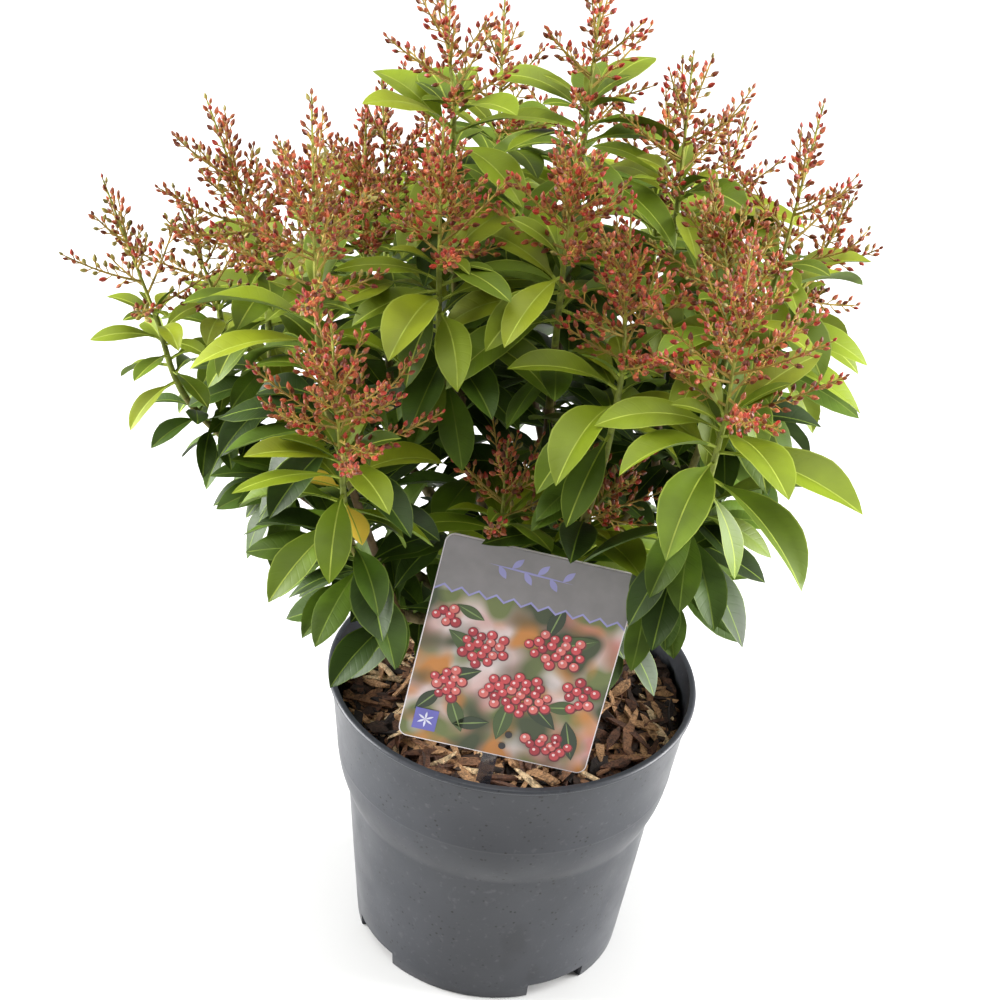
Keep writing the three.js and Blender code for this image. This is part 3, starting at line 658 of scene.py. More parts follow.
# A place is (azimuth in degrees, distance out, height), in millimetres, and a fork is where a mass
# starts. A shoot's place is where its flower head starts, or its top if it has none. Its head is
# (length, spread, lean outwards, sway in degrees), and a lax one has fewer racemes. Its bloom says
# which buds it bears, its size scales its leaves, and its turn shifts their spiral, in degrees. A
# fading shoot keeps two yellow leaves. A mass's own turn shifts the leaves on its bough.
MASSES = {
    "far_left": {
        "fork": (177, 78, 200),
        "turn": 160,
        "shoots": [
            {
                "place": (180, 156, 295), "head": (58, 32, 20), "lax": True, "bloom": "green",
                "size": 0.55, "turn": 100,
            },
            {
                "place": (170, 136, 288), "head": (50, 32, 22), "lax": True, "bloom": "green",
                "size": 0.6, "turn": 70,
            },
            {"place": (184, 112, 325), "head": (70, 42, 20), "size": 0.8, "bloom": "tan", "turn": 170},
            {"place": (192, 92, 238), "size": 0.75},
        ],
    },
    "front_left": {
        "fork": (221, 64, 190),
        "shoots": [
            {"place": (226, 107, 285), "head": (62, 46, 8), "fading": True, "turn": 250},
            {"place": (213, 105, 338), "head": (82, 42, 4), "bloom": "tan", "turn": 180},
        ],
    },
    "top_left": {
        "fork": (172, 28, 240),
        "turn": 75,
        "shoots": [
            {"place": (165, 47, 388), "head": (48, 32, 9), "lax": True, "turn": 30},
            {"place": (215, 55, 345), "head": (60, 36, 3)},
            {"place": (176, 76, 330), "head": (54, 34, 2), "bloom": "tan", "turn": 320},
        ],
    },
    "top_centre": {
        "fork": (0, 3, 240),
        "turn": 260,
        "shoots": [
            {"place": (77, 23, 390), "head": (52, 30, 2), "lax": True, "turn": 120},
            {"place": (272, 32, 352), "head": (54, 32, -2)},
        ],
    },
    "right_upper": {
        "fork": (8, 45, 225),
        "shoots": [
            {"place": (353, 84, 346), "head": (68, 34, 5), "lax": True, "turn": 280},
            {"place": (16, 45, 364), "head": (54, 38, -2), "bloom": "tan", "lax": True, "turn": 260},
        ],
    },
    "front_right": {
        "fork": (318, 57, 195),
        "shoots": [
            {"place": (309, 102, 318), "head": (74, 46, 0), "size": 1.12, "turn": 100},
            {"place": (328, 78, 340), "head": (54, 34, -20), "size": 1.1, "bloom": "green", "turn": 320},
        ],
    },
    "front_centre": {
        "fork": (288, 32, 185),
        "turn": 180,
        "shoots": [
            {"place": (297, 59, 318), "head": (68, 38, -8)},
            {"place": (253, 41, 239), "head": (38, 32, 4), "bloom": "tan", "lax": True},
            {"place": (296, 44, 238), "head": (42, 33, 10, 25), "bloom": "tan", "lax": True},
        ],
    },
    "back_left": {
        "fork": (137, 65, 200),
        "shoots": [
            {"place": (145, 126, 280), "head": (54, 38, 14), "bloom": "tan", "lax": True, "turn": 250},
            {"place": (118, 118, 306), "head": (60, 40, 14), "lax": True},
            {"place": (144, 86, 324), "head": (54, 34, 8), "lax": True, "turn": 100},
            {"place": (146, 100, 240)},
        ],
    },
    "back_centre": {
        "fork": (87, 42, 215),
        "turn": 220,
        "shoots": [
            {"place": (86, 110, 316), "head": (60, 40, 14), "lax": True},
            {"place": (115, 66, 356), "head": (56, 30, 6), "bloom": "tan", "lax": True, "turn": 100},
            {"place": (80, 98, 238)},
        ],
    },
    "back_right": {
        "fork": (42, 62, 205),
        "shoots": [
            {"place": (53, 108, 306), "head": (56, 36, 13), "lax": True, "turn": 100},
            {
                "place": (22, 106, 306), "head": (48, 36, 22), "lax": True, "bloom": "tan",
                "size": 0.7, "turn": 340,
            },
            {"place": (55, 68, 334), "head": (52, 32, 5), "lax": True, "turn": 210},
            {"place": (28, 96, 240), "turn": 50},
        ],
    },
}

young_bark_finish = new_finish("young_bark", seen(*YOUNG_BARK), 0.72)
young_bark_tone = between(young_bark_finish, grain(young_bark_finish, 420, 5, (1, 1, 0.4)), 0.3, 0.7)
young_bark_skin = blend_of(
    young_bark_finish, young_bark_tone, seen(*YOUNG_BARK_LOW), seen(*YOUNG_BARK_HIGH)
)
drive(young_bark_finish, "Base Color", young_bark_skin)
roughen(young_bark_finish, young_bark_tone, 0.0004)


def polar(place):
    """The point, in millimetres, of a place: its azimuth in degrees, distance out and height."""
    azimuth, out, height = place
    turn = math.radians(azimuth)
    return Vector((out * math.cos(turn), out * math.sin(turn), height))


def curve_through(points, steps):
    """A centripetal Catmull-Rom curve through a row of points, as (steps + 1) points."""
    ends = [points[0] * 2 - points[1], *points, points[-1] * 2 - points[-2]]
    curve = []
    for i in range(steps + 1):
        at = i / steps * (len(points) - 1)
        n = min(int(at), len(points) - 2)
        before, start, end, after = ends[n:n + 4]
        gap_in, gap, gap_out = (
            math.sqrt((q - p).length) for p, q in ((before, start), (start, end), (end, after))
        )
        pull_in = (start - before) / gap_in - (end - before) / (gap_in + gap) + (end - start) / gap
        pull_in = pull_in * gap
        pull_out = (end - start) / gap - (after - start) / (gap + gap_out) + (after - end) / gap_out
        pull_out = pull_out * gap
        t = at - n
        curve.append(
            start
            + pull_in * t
            + (end * 3 - start * 3 - pull_in * 2 - pull_out) * t * t
            + (start * 2 - end * 2 + pull_in + pull_out) * t ** 3
        )
    return curve


def bough_centres(mass, number):
    """Outer boughs leave the trunk low and in turn at two heights. Inner ones rise from its top."""
    tip = polar(mass["fork"])
    inner = mass["fork"][1] < INNER_REACH
    height = INNER_FORK_SHARE if inner else OUTER_FORK_SHARE + OUTER_FORK_STEP * (number % 2)
    foot = TRUNK_FOOT.lerp(TRUNK_HEAD, height)
    bend = foot.lerp(tip, BOUGH_BEND_SHARE)
    bend.z += 0 if inner else BOUGH_BEND_RISE * (tip - foot).length
    return curve_through([foot, bend, tip], BOUGH_RINGS - 1)


bough_radii = np.linspace(BOUGH_FOOT_RADIUS, BOUGH_TIP_RADIUS, BOUGH_RINGS)
for bough_number, (mass_name, mass) in enumerate(MASSES.items()):
    bough_limb = bark_limb(bough_centres(mass, bough_number), bough_radii, BOUGH_SIDES, BOUGH_RELIEF)
    bough_name = "bough_" + mass_name
    bough = finished_piece(bough_name + "_bark", bough_limb, [young_bark_finish])
    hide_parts(bough_name)


# ---- Shoots -------------------------------------------------------------------------------------
# From each bough's tip grow two to four shoots. Each has its last year's wood, olive and woody, up
# to a whorl of dark leaves, and then this spring's pale green growth up to its flower head.
STEM_FOOT_RADIUS = 1.8
STEM_TOP_RADIUS = 1.05
STEM_SIDES = 8
STEM_STEPS = 28
STEM_HOMING = 0.5
STEM_PLUMB = 0.5
BRANCHING_STEPS = STEM_STEPS // 4
BRANCHING_PLACES = 4
WHORL_BELOW = 44
WHORL_SHARE = 0.62
BARE_WHORL_SHARE = 0.5
NODE_SWELL = 0.1
NODE_SPACING = 9
GREEN_WOOD_REACH = 40
OLIVE_WOOD_REACH = 85
STEM_SHADES = {"stem_green": (122, 132, 52), "stem_olive": (108, 104, 50), "stem_brown": (96, 76, 46)}
OLIVE_WOOD = 1
BROWN_WOOD = 2
SEED_MASK = 0xFFFFFFFF
MASS_SEED_STEP = 1000
SHOOT_SEED_STEP = 200


def random_from(seed):
    """Seeded random numbers from 0 to 1 (mulberry32), the same that the solids were grown with."""
    state = seed & SEED_MASK

    def draw():
        """The next number."""
        nonlocal state
        state = (state + 0x6D2B79F5) & SEED_MASK
        t = ((state ^ (state >> 15)) * (state | 1)) & SEED_MASK
        t ^= (t + (((t ^ (t >> 7)) * (t | 61)) & SEED_MASK)) & SEED_MASK
        return (t ^ (t >> 14)) / 4294967296

    return draw


def stem_centres(start, shoot):
    """A shoot's stem, from where it starts, through the whorl on older wood, up to its flower head."""
    top = polar(shoot["place"])
    reach = (top - start).length
    drop = min(WHORL_BELOW, WHORL_SHARE * reach) * (1 if "head" in shoot else BARE_WHORL_SHARE)
    down = ((start - top) * (STEM_HOMING / reach) + Vector((0, 0, -STEM_PLUMB))).normalized()
    return curve_through([start, top + down * drop, top], STEM_STEPS)


def shoots_of(mass, number):
    """The first shoot carries on from the bough. The others branch from its stem a little higher."""
    first = stem_centres(polar(mass["fork"]), mass["shoots"][0])
    grown = []
    for i, shoot in enumerate(mass["shoots"]):
        start = first[0].lerp(first[BRANCHING_STEPS], i / BRANCHING_PLACES)
        stem = first if i == 0 else stem_centres(start, shoot)
        seed = MASS_SEED_STEP * (number + 1) + SHOOT_SEED_STEP * i
        grown.append({"shoot": shoot, "stem": stem, "seed": seed})
    return grown


def lengths_below(centres):
    """Each point's distance along a row of centres, measured back from its end."""
    steps = np.linalg.norm(np.diff(np.asarray(centres, float), axis=0), axis=1)
    return np.concatenate((np.cumsum(steps[::-1])[::-1], [0]))


shoots = [each for number, mass in enumerate(MASSES.values()) for each in shoots_of(mass, number)]
stem_points = []
stem_faces = []
stem_slots = []
for each in shoots:
    below = lengths_below(each["stem"])
    radii = np.linspace(STEM_FOOT_RADIUS, STEM_TOP_RADIUS, STEM_STEPS + 1)
    radii = radii * (1 + NODE_SWELL * np.maximum(0, np.sin(below * math.tau / NODE_SPACING)) ** 3)
    rings = steered_rings(each["stem"], radii, STEM_SIDES)
    stem_faces += tube_faces(len(rings), STEM_SIDES, sum(len(points) for points in stem_points))
    stem_points.append(rings.reshape(-1, 3))
    ages = np.searchsorted((GREEN_WOOD_REACH, OLIVE_WOOD_REACH), (below[:-1] + below[1:]) / 2)
    if "head" not in each["shoot"]:
        ages = np.maximum(ages, OLIVE_WOOD)
    stem_slots += [int(age) for age in ages for _ in range(STEM_SIDES)] + [BROWN_WOOD, int(ages[-1])]


def stalk_finish(name, colour, roughness=0.5):
    """The skin of a green stem or stalk: one shade, mottled a little, with a soft shine."""
    finish = new_finish(name, seen(*colour), roughness, Specular_IOR_Level=0.25)
    tone = between(finish, grain(finish, 260, 3), 0.35, 0.65)
    drive(finish, "Base Color", blend_of(finish, tone, shaded(colour, 0.82), shaded(colour, 1.12)))
    roughen(finish, grain(finish, 1500, 3), 0.0002)
    return finish


mass_nodes = ["mass_" + mass_name for mass_name in MASSES]
stems = joined_piece(
    "shoot_stems", np.concatenate(stem_points), stem_faces, stem_slots,
    [stalk_finish(name, colour) for name, colour in STEM_SHADES.items()],
)
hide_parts(*mass_nodes)


# ---- Flower heads -------------------------------------------------------------------------------
# A head is a panicle of closed buds: a middle raceme with others spreading round its lower half. On
# each raceme short stalks leave the axis in a spiral, and each bears one pointed bud in its calyx.
GOLDEN_ANGLE_DEG = 137.5
SIDE_RACEMES = 6
FULL_RACEMES = 18
LAX_RACEMES = 10
RACEME_SEED_STEP = 31
RACEME_TRIES = 4
RACEME_STEPS = 8
RACEME_OUTER_STEP = 2
RACEMES_FROM = 0.03
RACEMES_RUN = 0.5
RACEME_TURN_DEG = 30
RETRY_TURN_DEG = 19
LOWEST_OPEN_DEG = 62
UPWARD_CLOSING_DEG = 30
RACEME_OPEN_DEG = 8
RETRY_CLOSING_DEG = 7
LOWEST_LENGTH = 1.12
UPWARD_SHORTENING = 0.42
RACEME_LENGTHS = (0.88, 0.24)
FINE_LENGTH = 0.84
FINE_LENGTHS = (0.7, 0.3)
FINE_UPWARD_DEG = 18
FINE_SPREAD_DEG = 26
AXIS_SIDES = 5
MIDDLE_AXIS_RADII = (0.85, 0.35)
SIDE_AXIS_RADII = (0.6, 0.3)
UPCURVE = 0.18
FULL_SPACING = 1.4
LAX_SPACING = 1.75
SPACING_SHIFT = 0.4
MIDDLE_BARE_SHARE = 0.34
BARE_SHARE = 0.14
STALK_RADII = (0.24, 0.3)
STALK_LENGTHS = (3.5, 2.7, 1.1)
STALK_LENGTHS_AT = (0, 0.75, 1)
STALK_LENGTH_RANGE = (0.8, 1.2)
STALK_OPEN_DEG = (58, 34)
STALK_OPEN_SPREAD_DEG = 6
STALK_TURN_SPREAD = 0.25
STALK_GUIDE = np.array((0.31, 0.23, 0.92))
STALK_SKIN_GUIDE = (0.53, 0.31, 0.79)
TIP_STALK_OPEN = 0.05
BUD_LENGTH = 3.2
BUD_RADIUS = 0.92
BUD_SIDES = 5
BUD_ALONG = np.array([0.0, 0.22, 0.5, 0.8, 1.0])
BUD_ACROSS = np.array([0.4, 0.9, 1.0, 0.6, 0.1])
BUD_SIZES = (1.05, 0.95, 0.72)
BUD_SIZES_AT = (0, 0.8, 1)
BUD_SIZE_RANGE = (0.86, 1.14)
BUD_UPTURN = np.array((0, 0, 0.35))
BUD_WAY_SPREAD = 0.12
HEAD_TEST_RADIUS = 1.0
HEAD_ROOM_RADIUS = 2.4
HEAD_CLEAR_STEPS = (0, 17, 34, 50)
HEAD_CLEAR_MIDDLE = 0.66
HEAD_CLEAR_ACROSS = 0.5
HEAD_CLEAR_ALONG = 0.44
HEAD_LIGHT_WAY = Vector((0, 0, 0.5))
STEM_ROOM_STEPS = 4
LABEL_VIEW_X = (-43, 35)
LABEL_VIEW_HEIGHTS = (150, 228)
LABEL_VIEW_DEPTHS = (-62, -50)
LABEL_VIEW_RUN = Vector((0, -90, 62))
AXIS_SHADES = {"axis_green": (136, 140, 58), "axis_tan": (146, 126, 56), "stalk_tan": (162, 130, 60)}
MIDDLE_AXIS = 0
SIDE_AXIS = 1
BUD_STALK = 2
BUD_SHADES = {
    "bud_crimson": (150, 49, 34),
    "bud_rose": (162, 82, 50),
    "bud_brick": (132, 70, 39),
    "bud_maroon": (104, 47, 22),
    "bud_green": (130, 120, 58),
    "bud_calyx": (160, 122, 60),
}
# How large a share of a head's buds takes each shade, from bud_crimson to bud_green.
BLOOMS = {
    "red": (0.26, 0.24, 0.28, 0.2, 0.02),
    "tan": (0.14, 0.24, 0.3, 0.2, 0.12),
    "green": (0.08, 0.14, 0.22, 0.2, 0.36),
}


def square_to(direction):
    """Two directions square to a given one, in right-handed order with it."""
    guide = Vector((0, 0, 1)) if abs(direction.z) < 0.9 else Vector((1, 0, 0))
    side = guide.cross(direction).normalized()
    return side, direction.cross(side)


def head_ends(shoot):
    """The foot and the tip of a head's middle raceme."""
    length, _, lean, sway = (*shoot["head"], 0)[:4]
    foot = polar(shoot["place"])
    out = Vector((foot.x, foot.y, 0)).normalized()
    side = Vector((-out.y, out.x, 0))
    way = Vector((0, 0, 1)) + out * math.tan(math.radians(lean)) + side * math.tan(math.radians(sway))
    return foot, foot + way.normalized() * length


def side_raceme(head, spread, number, count, random, attempt):
    """The ends of a side raceme. They leave the head's axis in a spiral, the lower ones longer and
    more spreading. After the main ones, finer and shorter ones fill the places between them."""
    fine = number >= SIDE_RACEMES
    share = number / (SIDE_RACEMES - 1)
    if fine:
        share = (number - SIDE_RACEMES) / (count - SIDE_RACEMES - 1)
    axis = (head[1] - head[0]).normalized()
    foot = head[0].lerp(head[1], RACEMES_FROM + RACEMES_RUN * share)
    side, across = square_to(axis)
    turn_deg = GOLDEN_ANGLE_DEG * number + RACEME_TURN_DEG * (random() - 0.5) + RETRY_TURN_DEG * attempt
    angle = math.radians(turn_deg)
    out = side * math.cos(angle) + across * math.sin(angle)
    open_deg = LOWEST_OPEN_DEG - UPWARD_CLOSING_DEG * share + RACEME_OPEN_DEG * (random() - 0.5)
    opening = math.radians(open_deg - RETRY_CLOSING_DEG * attempt)
    length = spread * (LOWEST_LENGTH - UPWARD_SHORTENING * share)
    length *= RACEME_LENGTHS[0] + RACEME_LENGTHS[1] * random()
    if fine:
        opening += math.radians(FINE_SPREAD_DEG * (1 - share) - FINE_UPWARD_DEG * random())
        length *= FINE_LENGTH * (FINE_LENGTHS[0] + FINE_LENGTHS[1] * random())
    return foot, foot + (axis * math.cos(opening) + out * math.sin(opening)) * length


def raceme_curve(foot, tip, upcurve):
    """A raceme's axis, which sags a little at first and turns up towards its tip."""
    reach = (tip - foot).length
    shares = np.linspace(0, 1, RACEME_STEPS)
    line = np.array(foot) + np.outer(shares, np.array(tip - foot))
    line[:, 2] += upcurve * reach * (shares ** 2 - shares)
    return line


class Room:
    """The surfaces that later racemes and leaves keep clear of. A shoot's own stem never blocks it."""

    def __init__(self):
        """Starts empty."""
        self.trees = []
        self.owners = []
        self.lows = np.zeros((0, 3))
        self.highs = np.zeros((0, 3))

    def add(self, points, faces, owner=None):
        """Takes up a surface, which its owner may pass through."""
        points = np.asarray(points, float)
        self.trees.append(BVHTree.FromPolygons(points.tolist(), faces))
        self.owners.append(owner)
        self.lows = np.vstack((self.lows, points.min(0)))
        self.highs = np.vstack((self.highs, points.max(0)))

    def is_free(self, points, faces, owner=None):
        """Whether a surface crosses none of the others, but for its owner's."""
        points = np.asarray(points, float)
        near = np.all((self.lows < points.max(0)) & (self.highs > points.min(0)), axis=1)
        tree = BVHTree.FromPolygons(points.tolist(), faces)
        for n in np.flatnonzero(near):
            if (owner is None or self.owners[n] != owner) and tree.overlap(self.trees[n]):
                return False
        return True


room = Room()
for node_name in ("pot", "mulch", "label", "trunk"):
    node_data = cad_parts[node_name].data
    room.add(
        [tuple(vert.co / MM) for vert in node_data.vertices],
        [tuple(polygon.vertices) for polygon in node_data.polygons],
    )

# The space before the card stays free too, so that the label can be read.
view_of_label = bmesh.new()
bmesh.ops.create_cube(view_of_label, size=1)
for vert in view_of_label.verts:
    along, up = int(vert.co.x > 0), int(vert.co.z > 0)
    corner = Vector((LABEL_VIEW_X[along], LABEL_VIEW_DEPTHS[up], LABEL_VIEW_HEIGHTS[up]))
    vert.co = corner + LABEL_VIEW_RUN * (vert.co.y < 0)
room.add(
    [tuple(vert.co) for vert in view_of_label.verts],
    [tuple(vert.index for vert in face.verts) for face in view_of_label.faces],
)
view_of_label.free()
for each in shoots:
    for part in range(0, STEM_STEPS, STEM_ROOM_STEPS):
        part_centres = each["stem"][part:part + STEM_ROOM_STEPS + 1]
        part_rings = steered_rings(part_centres, [STEM_FOOT_RADIUS] * len(part_centres), 4)
        room.add(part_rings.reshape(-1, 3), tube_faces(len(part_centres), 4), each["seed"])


def bud_points(feet, ways, lengths):
    """Buds as rings of corners round their axes, from the calyx to the point."""
    guides = np.where(np.abs(ways[:, 2:]) < 0.9, (0, 0, 1.0), (1.0, 0, 0))
    sides = np.cross(guides, ways)
    sides /= np.linalg.norm(sides, axis=1)[:, None]
    across = np.cross(ways, sides)
    turns = np.arange(BUD_SIDES) * math.tau / BUD_SIDES
    spokes = np.cos(turns)[None, :, None] * sides[:, None]
    spokes = spokes + np.sin(turns)[None, :, None] * across[:, None]
    scales = lengths / BUD_LENGTH
    rings = []
    for along, wide in zip(BUD_ALONG, BUD_ACROSS):
        centres = feet + ways * (lengths * along)[:, None]
        rings.append(centres[:, None] + spokes * (BUD_RADIUS * wide * scales)[:, None, None])
    return np.stack(rings, axis=1)


axis_points = []
axis_faces = []
axis_slots = []
bud_batches = []
bud_tones = []
stalk_batches = []


def grow_raceme(line, radii, shade, bare, spacing, random, deal):
    """An axis with its stalks and buds. deal is the share of each bud shade."""
    rings = steered_rings(line, np.linspace(*radii, len(line)), AXIS_SIDES)
    faces = tube_faces(len(rings), AXIS_SIDES, sum(len(points) for points in axis_points))
    axis_faces.extend(faces)
    axis_slots.extend([shade] * len(faces))
    axis_points.append(rings.reshape(-1, 3))
    steps = np.linalg.norm(np.diff(line, axis=0), axis=1)
    reach = np.concatenate(([0], np.cumsum(steps)))
    places = np.arange(bare * reach[-1], reach[-1], spacing)
    places = places + random.uniform(-SPACING_SHIFT, SPACING_SHIFT, len(places))
    places[-1] = reach[-1]
    share = (places - places[0]) / (reach[-1] - places[0])
    feet = np.stack([np.interp(places, reach, line[:, i]) for i in range(3)], axis=1)
    ahead = np.stack([np.interp(places - 1.0, reach, line[:, i]) for i in range(3)], axis=1)
    ways = feet - ahead
    ways[-1] = line[-1] - line[-2]
    ways /= np.linalg.norm(ways, axis=1)[:, None]
    sides = np.cross(STALK_GUIDE, ways)
    sides /= np.linalg.norm(sides, axis=1)[:, None]
    turns = np.radians(GOLDEN_ANGLE_DEG) * np.arange(len(places)) + random.uniform(0, math.tau)
    turns = turns + random.normal(0, STALK_TURN_SPREAD, len(places))
    outs = np.cos(turns)[:, None] * sides + np.sin(turns)[:, None] * np.cross(ways, sides)
    open_deg = np.interp(share, (0, 1), STALK_OPEN_DEG)
    opening = np.radians(open_deg + random.normal(0, STALK_OPEN_SPREAD_DEG, len(places)))
    opening[-1] = TIP_STALK_OPEN
    stalk_ways = np.cos(opening)[:, None] * ways + np.sin(opening)[:, None] * outs
    lengths = np.interp(share, STALK_LENGTHS_AT, STALK_LENGTHS)
    lengths = lengths * random.uniform(*STALK_LENGTH_RANGE, len(places))
    tips = feet + stalk_ways * lengths[:, None]
    bud_ways = stalk_ways + BUD_UPTURN + random.normal(0, BUD_WAY_SPREAD, stalk_ways.shape)
    bud_ways /= np.linalg.norm(bud_ways, axis=1)[:, None]
    sizes = BUD_LENGTH * np.interp(share, BUD_SIZES_AT, BUD_SIZES)
    sizes = sizes * random.uniform(*BUD_SIZE_RANGE, len(places))
    stalk_batches.append((feet, tips))
    bud_batches.append(bud_points(tips, bud_ways, sizes))
    bud_tones.extend(random.choice(len(deal), size=len(places), p=deal))


for each in shoots:
    if "head" not in each["shoot"]:
        continue
    head = head_ends(each["shoot"])
    spread = each["shoot"]["head"][1]
    deal = BLOOMS[each["shoot"].get("bloom", "red")]
    random = np.random.default_rng(each["seed"])
    is_lax = each["shoot"].get("lax", False)
    count = LAX_RACEMES if is_lax else FULL_RACEMES
    spacing = LAX_SPACING if is_lax else FULL_SPACING
    line = raceme_curve(*head, 0)
    grow_raceme(line, MIDDLE_AXIS_RADII, MIDDLE_AXIS, MIDDLE_BARE_SHARE, spacing, random, deal)
    middle_room = steered_rings(line, [HEAD_ROOM_RADIUS] * RACEME_STEPS, 4)
    room.add(middle_room.reshape(-1, 3), tube_faces(RACEME_STEPS, 4), each["seed"])
    for number in range(count):
        raceme_seed = each["seed"] + RACEME_SEED_STEP * number
        for attempt in range(RACEME_TRIES):
            ends = side_raceme(head, spread, number, count, random_from(raceme_seed), attempt)
            line = raceme_curve(*ends, UPCURVE)
            outer = line[RACEME_OUTER_STEP:]
            outer_faces = tube_faces(len(outer), 4)
            test = steered_rings(outer, [HEAD_TEST_RADIUS] * len(outer), 4).reshape(-1, 3)
            if room.is_free(test, outer_faces, each["seed"]):
                test = steered_rings(outer, [HEAD_ROOM_RADIUS] * len(outer), 4).reshape(-1, 3)
                room.add(test, outer_faces)
                grow_raceme(line, SIDE_AXIS_RADII, SIDE_AXIS, BARE_SHARE, spacing, random, deal)
                break

# Leaves keep out of each head, and out of the light it grows towards.
head_shape = bmesh.new()
bmesh.ops.create_icosphere(head_shape, subdivisions=1, radius=1)
head_sphere = np.array([vert.co for vert in head_shape.verts])
head_faces = [tuple(vert.index for vert in face.verts) for face in head_shape.faces]
head_shape.free()
for each in shoots:
    if "head" in each["shoot"]:
        foot, tip = head_ends(each["shoot"])
        length, spread = each["shoot"]["head"][:2]
        out = Vector((foot.x, foot.y, 0)).normalized()
        half_across = spread * HEAD_CLEAR_ACROSS
        half_sizes = (half_across, half_across, length * HEAD_CLEAR_ALONG)
        for step in HEAD_CLEAR_STEPS:
            middle = foot.lerp(tip, HEAD_CLEAR_MIDDLE) + (out + HEAD_LIGHT_WAY) * step
            room.add(np.array(middle) + head_sphere * half_sizes, head_faces)

stalk_feet = np.concatenate([feet for feet, _ in stalk_batches])
stalk_tips = np.concatenate([tips for _, tips in stalk_batches])
stalk_ways = (stalk_tips - stalk_feet) / np.linalg.norm(stalk_tips - stalk_feet, axis=1)[:, None]
stalk_sides = np.cross(stalk_ways, STALK_SKIN_GUIDE)
stalk_sides /= np.linalg.norm(stalk_sides, axis=1)[:, None]
stalk_across = np.cross(stalk_ways, stalk_sides)
stalk_corners = []
for stalk_ends, stalk_radius in ((stalk_feet, STALK_RADII[0]), (stalk_tips, STALK_RADII[1])):
    for turn in (0, math.tau / 3, math.tau * 2 / 3):
        stalk_corners.append(
            stalk_ends + stalk_radius * (math.cos(turn) * stalk_sides + math.sin(turn) * stalk_across)
        )
stalk_pattern = tube_faces(2, 3)
stalk_start = sum(len(points) for points in axis_points)
for face in repeated(stalk_pattern, len(stalk_corners), len(stalk_feet)):
    axis_faces.append(tuple(stalk_start + corner for corner in face))
axis_slots += [BUD_STALK] * (len(stalk_pattern) * len(stalk_feet))
axis_points.append(np.stack(stalk_corners, axis=1).reshape(-1, 3))
axes = joined_piece(
    "flower_stalks", np.concatenate(axis_points), axis_faces, axis_slots,
    [stalk_finish(name, colour, 0.6) for name, colour in AXIS_SHADES.items()],
)
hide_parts(*mass_nodes)


def bud_finish(name, colour):
    """The waxy skin of a closed bud in one shade, a little darker in patches."""
    finish = new_finish(name, seen(*colour), 0.42, Specular_IOR_Level=0.3)
    tone = between(finish, grain(finish, 480, 3), 0.36, 0.62)
    drive(finish, "Base Color", blend_of(finish, tone, shaded(colour, 0.74), shaded(colour, 1.14)))
    return finish


bud_pattern = tube_faces(len(BUD_ALONG), BUD_SIDES)
bud_skin_faces = len(bud_pattern) - BUD_SIDES - 2
calyx_slot = len(BUD_SHADES) - 1
bud_finishes = [bud_finish(name, colour) for name, colour in BUD_SHADES.items()]
all_buds = np.concatenate(bud_batches)
bud_tones = np.array(bud_tones)
bud_in_front = all_buds[:, 0, 0, 1] < np.median(all_buds[:, 0, 0, 1])
for bud_side, chosen in (("front", bud_in_front), ("back", ~bud_in_front)):
    bud_slots = []
    for tone in bud_tones[chosen]:
        bud_slots += [calyx_slot] * BUD_SIDES + [int(tone)] * bud_skin_faces + [calyx_slot, int(tone)]
    buds = joined_piece(
        "flower_buds_" + bud_side, all_buds[chosen].reshape(-1, 3),
        repeated(bud_pattern, BUD_SIDES * len(BUD_ALONG), int(chosen.sum())), bud_slots,
        bud_finishes,
    )
    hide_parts(*mass_nodes)


# ---- Leaves -------------------------------------------------------------------------------------
# Leathery blades in spirals: a bright cluster of this spring's under each head, then last year's dark
# whorls down the older wood. Each is a folded, finely toothed blade on a short stalk, which leaves its
# stem rising and arches over, with a pale midrib and a dull paler underside.
# Each deal gives the shares of the four shades, for a cluster's upper half and for its lower half.
# The lower half's deal runs darker: partly the leaves' age, partly painted shade under the crown.
YOUNG_DEALS = ((0.48, 0.2, 0.28, 0.04), (0.32, 0.06, 0.42, 0.2))
OLD_DEALS = ((0.42, 0.3, 0.1, 0.18), (0.2, 0.36, 0.4, 0.04))
# Inner and bough leaves, deep in the crown, take that darker deal throughout: their age and painted shade.
SHADED_DEALS = (OLD_DEALS[1], OLD_DEALS[1])

# A cluster starts a way below the top of a stem that has a head, or of one that is bare of it, and
# runs down from there. Its leaves leave the stem at a rise, which sinks down the run, and each tip
# droops below that, all in degrees.
BRACT_LEAVES = {
    "count": 5, "length": 25, "width": 8, "below": 0.5, "run": 3,
    "rise": 62, "sink": 16, "droop": 50, "seed": 53, "deals": YOUNG_DEALS,
}
YOUNG_LEAVES = {
    "count": 13, "length": 49, "width": 16.5, "below": 3, "run": 30,
    "rise": 48, "sink": 46, "droop": 56, "seed": 0, "deals": YOUNG_DEALS,
}
FADING_LEAVES = {
    "count": 2, "length": 19, "width": 9, "below": 16, "run": 6,
    "rise": 4, "sink": 30, "droop": 20, "seed": 61, "deals": YOUNG_DEALS,
}
OLD_LEAVES = {
    "count": 13, "length": 47, "width": 16, "below": 44, "bare_below": 2, "run": 24,
    "rise": 29, "sink": 34, "droop": 39, "seed": 11, "deals": OLD_DEALS,
}
INNER_LEAVES = {
    "count": 9, "length": 43, "width": 16, "below": 74, "bare_below": 30, "run": 34,
    "rise": 27, "sink": 16, "droop": 34, "seed": 23, "deals": SHADED_DEALS,
}
BOUGH_LEAVES = {
    "count": 20, "length": 40, "width": 15, "bare_below": 4, "run": 60,
    "rise": 26, "sink": 24, "droop": 36, "seed": 37, "deals": SHADED_DEALS,
}
LEAF_SEED_STEP = 97
BOUGH_SEED = 900
LEAF_TRIES = 8
TRY_TURN_DEG = 17
TRY_SINK_DEG = 5
TRY_SHRINK = 0.05
STEM_LIFT = 0.6
LAST_STEP_SHARE = 0.92

